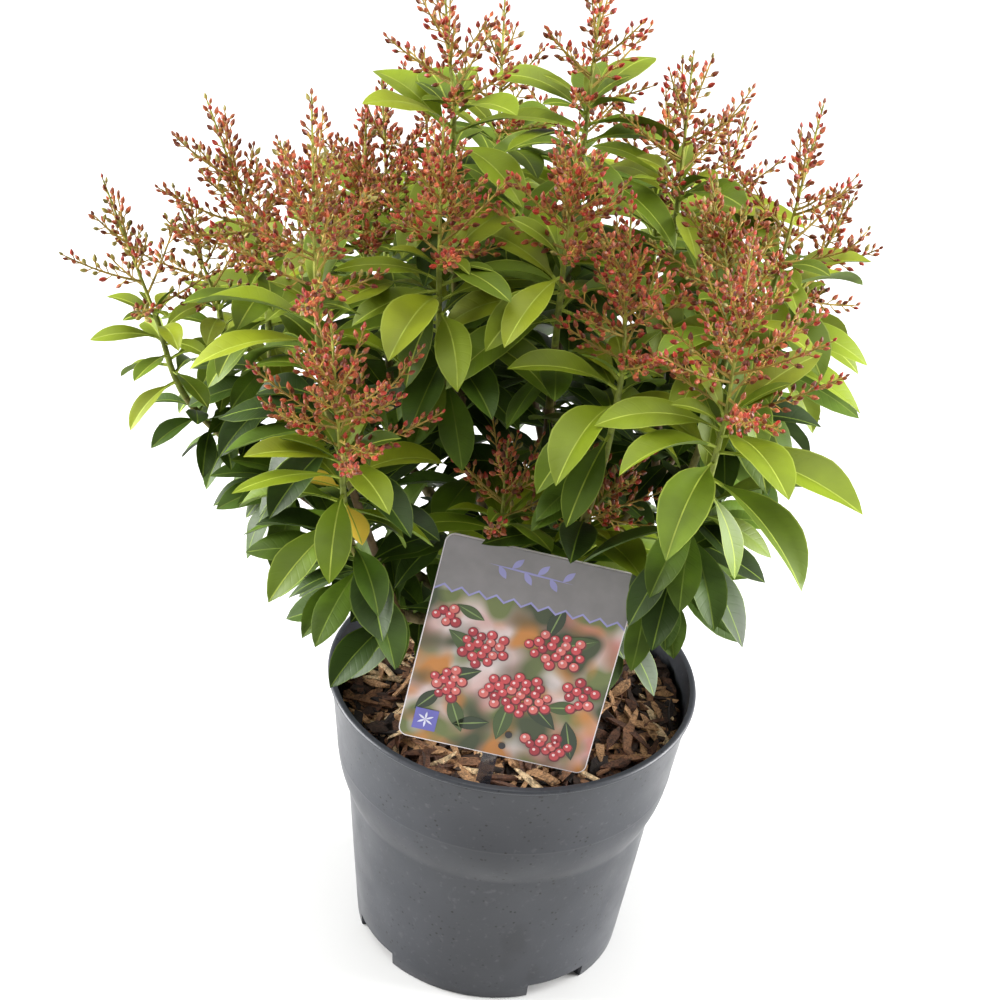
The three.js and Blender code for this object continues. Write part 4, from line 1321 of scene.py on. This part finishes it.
# A range is the least and the width of what chance gives, and a single value is shared out evenly
# about nought.
LEAF_TURN_DEG = 24
LEAF_RISE_DEG = 14
LEAF_ROLL_DEG = 36
LEAF_TWIST_DEG = 40
LEAF_SWEEP = 0.16
LEAF_SIZES = (0.84, 0.28)
LEAF_DROOPS = (0.7, 0.6)
LEAF_WIDTHS = (0.9, 0.2)
LEAF_FOLDS = (0.2, 0.45)
LEAF_CURLS = (0.05, 0.25)
LEAF_WAVE = 0.05
WAVES_ALONG = 15

LEAF_STATIONS = np.concatenate(([0, 0.06], np.linspace(0.12, 1, 14)))
LEAF_COLUMNS = np.array([1, 0.52, 0.06, -0.06, -0.52, -1])
LEAF_SIDES = len(LEAF_COLUMNS) + 1
STALK_SHARE = 0.12
STALK_HALF_WIDTH = 0.75
STALK_TAPER = (1.4, 3)
BLADE_RISE = 1.25
BLADE_FALL = 1.0
LEAF_KEEL = 0.75
KEEL_TAPER = 0.5
RIB_HALF_WIDTH = 0.27
RIB_SHARE = 0.4
RIB_GROOVE = 0.12
TOOTH = 0.008
TEETH_FROM = 0.3
ROOM_FROM = 4
ROOM_COLUMNS = (0, 2, 5)
YOUNG_SHADES = {
    "young_lime": (110, 126, 22),
    "young_yellow": (124, 135, 26),
    "young_green": (90, 110, 20),
    "young_deep": (72, 92, 18),
}
OLD_SHADES = {
    "old_green": (76, 99, 22),
    "old_deep": (58, 80, 18),
    "old_dark": (42, 60, 15),
    "old_olive": (88, 104, 22),
}
YOUNG_TRIM = {"young_rib": (150, 164, 64), "young_under": (104, 124, 46)}
OLD_TRIM = {"old_rib": (108, 128, 48), "old_under": (66, 86, 34)}
FADING_SHADE = (216, 184, 66)
LEAF_ROUGHNESS = 0.48
YOUNG_SKIN = {"mottle": 0.08, "relief": 0.00003}
OLD_SKIN = {"mottle": 0.18, "relief": 0.000035}
MARGIN_FROM = 0.93
MARGIN_BLUR = 0.015
MARGIN_SHARE = 0.55
VEIN_PAIRS = 13.0
VEIN_SLANT = 3.0
VEIN_WIDTH = 0.14
PORE_SHARE = 0.35


def leaf_finish(name, colour, edge, mottle, relief):
    """The upper skin of a leaf: one shade, mottled, glossy, with side veins pressed in on its own UV."""
    finish = new_finish(name, seen(*colour), LEAF_ROUGHNESS, Specular_IOR_Level=0.24)
    tone = between(finish, grain(finish, 42, 3), 0.36, 0.64)
    skin = blend_of(finish, tone, shaded(colour, 1 - mottle), shaded(colour, 1 + mottle))
    place = add_node(finish, "UVMap", {"uv_map": "blade"}).outputs["UV"]
    parts = add_node(finish, "SeparateXYZ", Vector=place).outputs
    outward = reckon(finish, "ABSOLUTE", reckon(finish, "SUBTRACT", parts["Y"], 0.5))
    margin = between(finish, outward, MARGIN_FROM / 2, MARGIN_FROM / 2 + MARGIN_BLUR, 0, MARGIN_SHARE)
    drive(finish, "Base Color", blend_of(finish, margin, skin, seen(*edge)))
    slanted = reckon(finish, "MULTIPLY", outward, VEIN_SLANT)
    along = reckon(finish, "MULTIPLY", parts["X"], VEIN_PAIRS)
    ripple = reckon(finish, "PINGPONG", reckon(finish, "SUBTRACT", along, slanted), 0.5)
    veins = between(finish, ripple, 0.0, VEIN_WIDTH)
    pores = grain(finish, 900, 3)
    roughen(finish, reckon(finish, "MULTIPLY_ADD", pores, PORE_SHARE, veins), relief)
    return finish


def trim_finish(name, colour):
    """A midrib, leaf stalk or dull underside in one shade, mottled a little."""
    finish = new_finish(name, seen(*colour), 0.6, Specular_IOR_Level=0.2)
    tone = between(finish, grain(finish, 120, 3), 0.35, 0.65)
    drive(finish, "Base Color", blend_of(finish, tone, shaded(colour, 0.9), shaded(colour, 1.08)))
    return finish


def point_below(stem, distance):
    """The point at a distance below the end of a stem, with the direction there."""
    left = distance
    i = len(stem) - 1
    step = stem[i] - stem[i - 1]
    while left > step.length and i > 1:
        left -= step.length
        i -= 1
        step = stem[i] - stem[i - 1]
    return stem[i] - step * min(left / step.length, LAST_STEP_SHARE), step.normalized()


def leaf_of(each, kind, number, below, random, attempt):
    """A leaf of a cluster, in a spiral down the stem. Each new try turns and lowers it a little."""
    share = number / (kind["count"] - 1)
    point, way = point_below(each["stem"], below + kind["run"] * share)
    side, across = square_to(way)
    turn = each["shoot"].get("turn", 0) + LEAF_TURN_DEG * (random() - 0.5) + TRY_TURN_DEG * attempt
    angle = math.radians(GOLDEN_ANGLE_DEG * number + turn)
    out = side * math.cos(angle) + across * math.sin(angle)
    lift = math.asin(max(-1, min(1, out.z))) * STEM_LIFT
    size = each["shoot"].get("size", 1) * (LEAF_SIZES[0] + LEAF_SIZES[1] * random())
    size *= 1 - TRY_SHRINK * attempt
    rise = kind["rise"] - kind["sink"] * share + LEAF_RISE_DEG * (random() - 0.5)
    rise -= TRY_SINK_DEG * attempt
    droop = kind["droop"] * (LEAF_DROOPS[0] + LEAF_DROOPS[1] * random())
    roll = LEAF_ROLL_DEG * (random() - 0.5)
    return {
        "root": np.array(point),
        "out": np.array(Vector((out.x, out.y, 0)).normalized()),
        "rise": math.radians(rise) + lift,
        "droop": math.radians(droop),
        "roll": math.radians(roll),
        "length": kind["length"] * size,
        "width": kind["width"] * size * (LEAF_WIDTHS[0] + LEAF_WIDTHS[1] * random()),
        "twist": math.radians(LEAF_TWIST_DEG * (random() - 0.5)),
        "sweep": LEAF_SWEEP * (random() - 0.5),
        "fold": LEAF_FOLDS[0] + LEAF_FOLDS[1] * random(),
        "curl": LEAF_CURLS[0] + LEAF_CURLS[1] * random(),
        "wave": LEAF_WAVE * random(),
        "phase": math.tau * random(),
    }


blade_shares = np.clip((LEAF_STATIONS - STALK_SHARE) / (1 - STALK_SHARE), 0, 1)
blade_peak = BLADE_RISE / (BLADE_RISE + BLADE_FALL)
blade_widths = (blade_shares / blade_peak) ** BLADE_RISE
blade_widths *= ((1 - blade_shares) / (1 - blade_peak)) ** BLADE_FALL
blade_teeth = np.where(blade_shares > TEETH_FROM, TOOTH * (-1.0) ** np.arange(len(LEAF_STATIONS)), 0)


def leaf_points(leaf):
    """A leaf's corners: at each station six across its upper side and one on its keel, then its tip."""
    shares = LEAF_STATIONS
    angles = leaf["rise"] - leaf["droop"] * shares
    steps = np.diff(shares) * leaf["length"]
    between_angles = (angles[:-1] + angles[1:]) / 2
    along = np.concatenate(([0], np.cumsum(steps * np.cos(between_angles))))
    up = np.concatenate(([0], np.cumsum(steps * np.sin(between_angles))))
    out = leaf["out"]
    level = np.array((-out[1], out[0], 0))
    rising = np.array((0, 0, 1.0))
    centre = leaf["root"] + np.outer(along, out) + np.outer(up, rising)
    centre += np.outer(leaf["sweep"] * leaf["length"] * shares ** 2, level)
    rolls = (leaf["roll"] + leaf["twist"] * shares) * np.minimum(1, shares / STALK_SHARE)
    normal = np.outer(np.cos(angles), rising) - np.outer(np.sin(angles), out)
    sides = np.cos(rolls)[:, None] * level + np.sin(rolls)[:, None] * normal
    normals = np.cos(rolls)[:, None] * normal - np.sin(rolls)[:, None] * level
    stalk_half = STALK_HALF_WIDTH * np.minimum(1, STALK_TAPER[0] - shares * STALK_TAPER[1])
    half = np.maximum(leaf["width"] / 2 * blade_widths, stalk_half)
    half[-1] = 0
    across = half[:, None] * LEAF_COLUMNS
    across[:, (0, 5)] *= (1 + blade_teeth)[:, None]
    rib = np.minimum(RIB_HALF_WIDTH, half * RIB_SHARE)
    across[:, 2] = rib
    across[:, 3] = -rib
    lean = np.abs(across) / np.maximum(half, 1e-6)[:, None]
    height = half[:, None] * (leaf["fold"] * lean - leaf["curl"] * lean ** 2)
    ripple = np.sin(shares * WAVES_ALONG + leaf["phase"])[:, None] * np.sign(LEAF_COLUMNS)
    height += leaf["wave"] * half[:, None] * lean ** 2 * ripple
    height[:, 2:4] -= RIB_GROOVE
    top = centre[:, None] + across[:, :, None] * sides[:, None] + height[:, :, None] * normals[:, None]
    keel = centre - (RIB_GROOVE + LEAF_KEEL * (1 - KEEL_TAPER * shares))[:, None] * normals
    rings = np.concatenate((top, keel[:, None]), axis=1)[:-1]
    return np.vstack((rings.reshape(-1, 3), centre[-1]))


leaf_rings = len(LEAF_STATIONS) - 1
leaf_tip = leaf_rings * LEAF_SIDES
leaf_pattern = tube_faces(leaf_rings, LEAF_SIDES, capped=(True, False))
last_ring = leaf_tip - LEAF_SIDES
for j in range(LEAF_SIDES):
    leaf_pattern.append((last_ring + j, last_ring + (j + 1) % LEAF_SIDES, leaf_tip))
leaf_uv = [
    (share, 0.5 + column / 2) for share in LEAF_STATIONS[:-1] for column in (*LEAF_COLUMNS, 0)
] + [(1, 0.5)]

# A coarser sheet stands for a leaf when its room is tested: the outer end, at every other station.
room_rings = range(ROOM_FROM, leaf_rings, 2)
room_points = [ring * LEAF_SIDES + column for ring in room_rings for column in ROOM_COLUMNS] + [leaf_tip]
room_faces = []
for ring in range(len(room_rings) - 1):
    for column in range(2):
        corner = ring * 3 + column
        room_faces.append((corner, corner + 1, corner + 4, corner + 3))
room_end = len(room_rings) * 3
room_faces += [(room_end - 3, room_end - 2, room_end), (room_end - 2, room_end - 1, room_end)]


def leaf_slots(shade, rib, under):
    """Which finish each of a leaf's faces takes: its stalk, its two halves, its midrib and its back."""
    blade = [shade, shade, rib, shade, shade, under, under]
    slots = []
    for ring in range(leaf_rings - 1):
        is_stalk = LEAF_STATIONS[ring + 1] <= STALK_SHARE + 1e-6
        slots += [rib] * LEAF_SIDES if is_stalk else blade
    return slots + [rib] + blade


def grow_leaves(grown, kind):
    """Yields the leaves of each shoot's cluster. One that finds no free room is left out."""
    for each in grown:
        below = kind["below"] if "head" in each["shoot"] else kind["bare_below"]
        for number in range(kind["count"]):
            seed = each["seed"] + kind["seed"] + LEAF_SEED_STEP * number
            for attempt in range(LEAF_TRIES):
                points = leaf_points(leaf_of(each, kind, number, below, random_from(seed), attempt))
                if room.is_free(points[room_points], room_faces, each["seed"]):
                    room.add(points[room_points], room_faces)
                    deal = kind["deals"][number * 2 >= kind["count"]]
                    shade = int(np.random.default_rng(seed).choice(len(deal), p=deal))
                    yield points, shade
                    break


def leaf_piece(name, leaves, shades, trims):
    """All the leaves of one age, joined. Each takes one shade of green for its upper side."""
    slots = []
    for _, shade in leaves:
        slots += leaf_slots(shade, len(shades), len(shades) + 1)
    piece = joined_piece(
        name, np.concatenate([points for points, _ in leaves]),
        repeated(leaf_pattern, leaf_tip + 1, len(leaves)), slots, shades + trims,
        uv=np.tile(leaf_uv, (len(leaves), 1)),
    )
    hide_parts(*mass_nodes)


flowering = [each for each in shoots if "head" in each["shoot"]]
fading = [each for each in shoots if each["shoot"].get("fading")]
leafy_boughs = []
for bough_number, mass in enumerate(MASSES.values()):
    leafy_boughs.append({
        "shoot": {"turn": mass.get("turn", 0)},
        "stem": bough_centres(mass, bough_number),
        "seed": MASS_SEED_STEP * (bough_number + 1) + BOUGH_SEED,
    })
young_leaves = [(points, len(YOUNG_SHADES)) for points, _ in grow_leaves(fading, FADING_LEAVES)]
young_leaves += grow_leaves(flowering, BRACT_LEAVES)
young_leaves += grow_leaves(flowering, YOUNG_LEAVES)
old_leaves = list(grow_leaves(shoots, OLD_LEAVES))
old_leaves += grow_leaves(shoots, INNER_LEAVES)
old_leaves += grow_leaves(leafy_boughs, BOUGH_LEAVES)
for piece_name, leaves, shades, trim, edge, skin in (
    (
        "young_leaves", young_leaves, {**YOUNG_SHADES, "young_fading": FADING_SHADE},
        YOUNG_TRIM, YOUNG_TRIM["young_rib"], YOUNG_SKIN,
    ),
    ("old_leaves", old_leaves, OLD_SHADES, OLD_TRIM, OLD_TRIM["old_rib"], OLD_SKIN),
):
    leaf_piece(
        piece_name, leaves,
        [leaf_finish(name, colour, edge, **skin) for name, colour in shades.items()],
        [trim_finish(name, colour) for name, colour in trim.items()],
    )


# ---- Label --------------------------------------------------------------------------------------
# A plastic picture card with rounded corners, printed and glossy, held by a clear moulded stake that
# is pushed into the mulch. It leans back and sits a little askew.
LABEL_WIDTH = 78
LABEL_HEIGHT = 92
LABEL_THICKNESS = 0.8
LABEL_CORNER = 4
LABEL_FOOT = Vector((-7, -64, 141))
LABEL_LEAN_BACK_DEG = 10
LABEL_TILT_DEG = 8
CARD_WHITE = (232, 224, 226)
INK_STEP = 0.03
INK_DEPTH = 0.8
PRINT_EDGE = 0.4
HEADER_FOOT = 68
TOOTH_COUNT = 11
TOOTH_HEIGHT = 2.6
EDGE_LINE = 1.0
BADGE_X = -34.0
BADGE_Y = 4.5
BADGE_SIDE = 9.5
STAR_ARMS = 6
STAR_REACH = 3.6
STAR_TURN_DEG = 30
SPRIG_X = -16
SPRIG_Y = 83
SPRIG_STEM_LENGTH = 34
SPRIG_STEM_DOWN_DEG = 2
SPRIG_STEM_START = 4
SPRIG_LEAVES = 6
SPRIG_LEAF_LENGTH = 6.4
SPRIG_LEAF_WIDTH = 2.6
SPRIG_SPACING = 5.2
SPRIG_SINK = 0.2
SPRIG_OPEN_DEG = 52
LINE_WIDTH = 0.9
HOLES = ((5.0, 10.5), (3.5, 5.0))
HOLE_RADIUS = 1.5
STAKE_WIDTH = 6
STAKE_THICKNESS = 1.6
STAKE_LENGTH = 46
STAKE_UP_THE_CARD = 16
STAKE_SINK_SHARE = 0.98
STAKE_EDGE = 0.35
STAKE_GREY = (120, 122, 134)

label_place = (
    Matrix.Translation(LABEL_FOOT * MM)
    @ Matrix.Rotation(math.radians(-LABEL_LEAN_BACK_DEG), 4, "X")
    @ Matrix.Rotation(math.radians(LABEL_TILT_DEG), 4, "Y")
    @ Matrix.Rotation(math.radians(90), 4, "X")
)


def raised_plate(outline, back, thickness):
    """A flat plate of an outline on the card's plane, as thick as asked for in front of its back."""
    shape = bmesh.new()
    corners = [shape.verts.new((x * MM, y * MM, back * MM)) for x, y in outline]
    plate_face = shape.faces.new(corners)
    raised = bmesh.ops.extrude_face_region(shape, geom=[plate_face])["geom"]
    raised_corners = [item for item in raised if isinstance(item, bmesh.types.BMVert)]
    bmesh.ops.translate(shape, verts=raised_corners, vec=(0, 0, thickness * MM))
    return shape


half_card = LABEL_WIDTH / 2
card_outline = ((-half_card, 0), (half_card, 0), (half_card, LABEL_HEIGHT), (-half_card, LABEL_HEIGHT))
card_shape = raised_plate(card_outline, -LABEL_THICKNESS / 2, LABEL_THICKNESS)
card_uprights = []
for edge in card_shape.edges:
    if abs(edge.verts[0].co.z - edge.verts[1].co.z) > LABEL_THICKNESS / 2 * MM:
        card_uprights.append(edge)
bmesh.ops.bevel(
    card_shape, geom=card_uprights, offset=LABEL_CORNER * MM,
    segments=8, profile=0.5, affect="EDGES", material=-1,
)
bmesh.ops.recalc_face_normals(card_shape, faces=card_shape.faces)
bmesh.ops.transform(card_shape, matrix=label_place, verts=card_shape.verts)
card_finish = new_finish("card_plastic", seen(*CARD_WHITE), 0.3)
roughen(card_finish, grain(card_finish, 240, 2), 0.0001)
card = finished_piece("label_card", card_shape, [card_finish], 30)
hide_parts("label")

INKS = {
    "ink_ground": (206, 186, 186),
    "ink_blush": (236, 206, 206),
    "ink_header": (130, 126, 127),
    "ink_line": (150, 148, 200),
    "ink_leaf": (66, 84, 40),
    "ink_forest": (40, 54, 30),
    "ink_leaf_pale": (124, 146, 82),
    "ink_coral": (196, 66, 72),
    "ink_rose": (212, 106, 100),
    "ink_crimson": (168, 42, 54),
    "ink_wine": (110, 32, 42),
    "ink_badge": (104, 102, 184),
    "ink_star": (226, 226, 242),
    # Painted shade: dark discs stand for the card's two punch holes, which are not cut.
    "painted_hole_shade": (36, 32, 34),
}
GROUND_PALE = (216, 202, 200)
GROUND_ROSE = (188, 122, 112)

# Each drift is the scale of its noise, the values between which it sets in, and its colour.
GROUND_DRIFTS = (
    (53, 0.42, 0.6, (104, 114, 62)),
    (61, 0.52, 0.66, (190, 124, 56)),
    (47, 0.48, 0.62, (58, 68, 38)),
)

# Each printed leaf is its foot, its length and width, its heading in degrees and its ink. Each bunch
# is its middle, the number of its berries, and its reach across and up.
PRINTED_LEAVES = (
    (-10, 40, 22, 8, 150, "ink_leaf"),
    (-12, 36, 20, 7, 205, "ink_forest"),
    (6, 30, 21, 8, -38, "ink_forest"),
    (2, 26, 19, 7.5, -95, "ink_leaf"),
    (12, 52, 20, 7, 24, "ink_leaf"),
    (10, 56, 17, 6.5, 78, "ink_forest"),
    (26, 22, 18, 7, -70, "ink_forest"),
    (-22, 22, 17, 6.5, -62, "ink_leaf"),
    (-26, 24, 14, 6, 232, "ink_forest"),
    (-16, 58, 13, 5, 160, "ink_leaf"),
    (16, 26, 15, 6, 12, "ink_leaf"),
    (-4, 14, 15, 6, 196, "ink_forest"),
)
PRINTED_BUNCHES = (
    (-14, 46, 17, 10, 8),
    (15, 52, 19, 12, 8),
    (4, 29, 27, 14, 9),
    (29, 34, 10, 6.5, 8),
    (-24, 27, 12, 7, 7),
    (21, 9, 12, 11, 4.5),
    (-31, 57, 6, 5, 5),
)
PRINTED_VEIN_WIDTH = 0.6
PRINTED_VEIN_SHARE = 0.94

# A berry is three discs, its shaded side, its own ink and a small light. Each disc is its share of
# the berry's radius, its shift along and up, and its number of corners.
BERRY_INKS = {"ink_coral": 0.5, "ink_rose": 0.3, "ink_crimson": 0.2}
BERRY_RADII = (2.0, 2.5)
BERRY_DISCS = ((1, 0, 0, 18), (0.82, -0.22, 0.25, 16), (0.27, -0.6, 0.7, 8))
BUNCH_HEART = 0.4
PRINT_SEED = 17

# The layers of ink, from the ground up.
GROUND_LAYER = 0
LEAF_LAYER = 4
RIGHT_LEAF_LAYER = 6
BERRY_LAYER = 7
EDGE_LAYER = 10
HEADER_LAYER = 11
SPRIG_LAYER = 12
HALF_LAYER = 0.5
ink_slots = {name: i for i, name in enumerate(INKS)}
ink_points = []
ink_faces = []
ink_face_slots = []


def lay_ink(outline, ink, layer):
    """A thin printed shape on the card's face. Each layer lies a hair above the last."""
    base = LABEL_THICKNESS / 2 + INK_STEP * layer
    start = len(ink_points)
    count = len(outline)
    ink_points.extend((x, y, base) for x, y in outline)
    ink_points.extend((x, y, base + INK_STEP * INK_DEPTH) for x, y in outline)
    faces = tube_faces(2, count, start)
    ink_faces.extend(faces)
    ink_face_slots.extend([ink_slots[ink]] * len(faces))


def disc(x, y, radius, corners=20):
    """A round outline, anticlockwise."""
    outline = []
    for i in range(corners):
        angle = math.tau * i / corners
        outline.append((x + radius * math.cos(angle), y + radius * math.sin(angle)))
    return outline


def lens(x, y, length, width, heading_deg, corners=9):
    """A plain leaf outline, pointed at both ends, from its foot at (x, y)."""
    turn = math.radians(heading_deg)
    outline = []
    for i in range(corners):
        share = i / (corners - 1)
        outline.append((share * length, -width / 2 * math.sin(math.pi * share)))
    for i in range(corners - 2, 0, -1):
        share = i / (corners - 1)
        outline.append((share * length, width / 2 * math.sin(math.pi * share)))
    return [
        (x + u * math.cos(turn) - v * math.sin(turn), y + u * math.sin(turn) + v * math.cos(turn))
        for u, v in outline
    ]


def rounded_card(low, inset):
    """The card's outline from a height to its top, anticlockwise, with the rounded corners it has there."""
    half = LABEL_WIDTH / 2 - inset
    corner = LABEL_CORNER - inset
    top = LABEL_HEIGHT - inset - corner
    outline = []
    for centre_x, centre_y, first_deg, is_corner in (
        (half - corner, inset + corner, -90, low <= inset),
        (half - corner, top, 0, True),
        (-half + corner, top, 90, True),
        (-half + corner, inset + corner, 180, low <= inset),
    ):
        if is_corner:
            for step in range(7):
                angle = math.radians(first_deg + 15 * step)
                x = centre_x + corner * math.cos(angle)
                outline.append((x, centre_y + corner * math.sin(angle)))
    return outline


def header(drop):
    """The band across the card's head, whose lower edge is cut in small even teeth."""
    half = LABEL_WIDTH / 2 - PRINT_EDGE
    teeth = []
    for i in range(2 * TOOTH_COUNT + 1):
        x = -half + 2 * half * i / (2 * TOOTH_COUNT)
        teeth.append((x, HEADER_FOOT - drop + (TOOTH_HEIGHT if i % 2 else 0)))
    return teeth + rounded_card(HEADER_FOOT, PRINT_EDGE)


def lay_berries(x, y, count, wide, tall, random):
    """A full bunch of round berries, packed in a spiral, each with a shaded side and a small light."""
    for n in range(count):
        out = math.sqrt((n + BUNCH_HEART) / count)
        turn = math.radians(GOLDEN_ANGLE_DEG * n)
        berry_x = x + wide * out * math.cos(turn)
        berry_y = y + tall * out * math.sin(turn)
        radius = random.uniform(*BERRY_RADII)
        ink = tuple(BERRY_INKS)[random.choice(len(BERRY_INKS), p=tuple(BERRY_INKS.values()))]
        inks = ("ink_wine", ink, "ink_blush")
        for i, (share, shift_x, shift_y, corners) in enumerate(BERRY_DISCS):
            outline = disc(berry_x + shift_x, berry_y + shift_y, radius * share, corners)
            lay_ink(outline, inks[i], BERRY_LAYER + i)


def lay_leaf(x, y, length, width, heading_deg, ink, layer):
    """A broad pointed leaf with a pale line down its middle."""
    lay_ink(lens(x, y, length, width, heading_deg, 13), ink, layer)
    vein = lens(x, y, length * PRINTED_VEIN_SHARE, PRINTED_VEIN_WIDTH, heading_deg, 7)
    lay_ink(vein, "ink_leaf_pale", layer + HALF_LAYER)


print_random = np.random.default_rng(PRINT_SEED)
lay_ink(rounded_card(0, PRINT_EDGE), "ink_ground", GROUND_LAYER)
for printed_leaf in PRINTED_LEAVES:
    lay_leaf(*printed_leaf, RIGHT_LEAF_LAYER if printed_leaf[0] > 0 else LEAF_LAYER)
for bunch in PRINTED_BUNCHES:
    lay_berries(*bunch, print_random)
lay_ink(header(EDGE_LINE), "ink_line", EDGE_LAYER)
lay_ink(header(0), "ink_header", HEADER_LAYER)
badge_right = BADGE_X + BADGE_SIDE
badge_top = BADGE_Y + BADGE_SIDE
badge = ((BADGE_X, BADGE_Y), (badge_right, BADGE_Y), (badge_right, badge_top), (BADGE_X, badge_top))
lay_ink(badge, "ink_badge", EDGE_LAYER)
star_x = BADGE_X + BADGE_SIDE / 2
star_y = BADGE_Y + BADGE_SIDE / 2
for arm in range(STAR_ARMS):
    star_turn = STAR_TURN_DEG + 360 / STAR_ARMS * arm
    lay_ink(lens(star_x, star_y, STAR_REACH, LINE_WIDTH, star_turn, 5), "ink_star", HEADER_LAYER)
for leaf_number in range(SPRIG_LEAVES):
    sprig_x = SPRIG_X + SPRIG_SPACING * leaf_number
    sprig_y = SPRIG_Y - SPRIG_SINK * leaf_number
    sprig_turn = SPRIG_OPEN_DEG if leaf_number % 2 else -SPRIG_OPEN_DEG
    sprig_leaf = lens(sprig_x, sprig_y, SPRIG_LEAF_LENGTH, SPRIG_LEAF_WIDTH, sprig_turn, 7)
    lay_ink(sprig_leaf, "ink_line", SPRIG_LAYER)
sprig_stem_x = SPRIG_X - SPRIG_STEM_START
sprig_stem = lens(sprig_stem_x, SPRIG_Y, SPRIG_STEM_LENGTH, LINE_WIDTH, -SPRIG_STEM_DOWN_DEG, 5)
lay_ink(sprig_stem, "ink_line", SPRIG_LAYER + HALF_LAYER)
# The punch holes are not cut: dark discs stand for them, painted shade of the dark seen through.
for hole_x, hole_y in HOLES:
    lay_ink(disc(hole_x, hole_y, HOLE_RADIUS), "painted_hole_shade", SPRIG_LAYER)


def ink_finish(name, colour):
    """Printing ink under a gloss lacquer, in one shade."""
    finish = new_finish(name, seen(*colour), 0.28)
    tone = between(finish, grain(finish, 150, 3), 0.3, 0.7)
    drive(finish, "Base Color", blend_of(finish, tone, shaded(colour, 0.94), seen(*colour)))
    return finish


def ground_finish(name, colour):
    """The card's printed ground: an unsharp garden of pale rose, with green and amber drifts."""
    finish = new_finish(name, seen(*colour), 0.28)
    rosy = between(finish, grain(finish, 44, 1), 0.4, 0.62)
    shade = blend_of(finish, rosy, seen(*GROUND_PALE), seen(*GROUND_ROSE))
    for scale, low, high, drift in GROUND_DRIFTS:
        spread = between(finish, grain(finish, scale, 1), low, high)
        shade = blend_of(finish, spread, shade, seen(*drift))
    drive(finish, "Base Color", shade)
    return finish


ink_finishes = [
    ground_finish(name, colour) if name == "ink_ground" else ink_finish(name, colour)
    for name, colour in INKS.items()
]
placed_ink = [tuple(label_place @ (Vector(point) * MM) / MM) for point in ink_points]
print_piece = joined_piece(
    "label_print", placed_ink, ink_faces, ink_face_slots, ink_finishes, 30,
)
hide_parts("label")

stake_foot = STAKE_UP_THE_CARD - STAKE_LENGTH
half_stake = STAKE_WIDTH / 2
stake_outline = (
    (-half_stake, STAKE_UP_THE_CARD),
    (-half_stake, stake_foot + STAKE_WIDTH),
    (0, stake_foot),
    (half_stake, stake_foot + STAKE_WIDTH),
    (half_stake, STAKE_UP_THE_CARD),
)
stake_back = -LABEL_THICKNESS / 2 - STAKE_THICKNESS
stake_shape = raised_plate(stake_outline, stake_back, STAKE_THICKNESS * STAKE_SINK_SHARE)
bmesh.ops.recalc_face_normals(stake_shape, faces=stake_shape.faces)
bmesh.ops.bevel(
    stake_shape, geom=stake_shape.edges[:], offset=STAKE_EDGE * MM,
    segments=2, profile=0.5, affect="EDGES", material=-1,
)
bmesh.ops.transform(stake_shape, matrix=label_place, verts=stake_shape.verts)
stake_finish = new_finish("clear_plastic", seen(*STAKE_GREY), 0.12, Transmission_Weight=0.85)
roughen(stake_finish, grain(stake_finish, 500, 2), 0.0001)
stake = finished_piece("label_stake", stake_shape, [stake_finish], 30)
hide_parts("label")
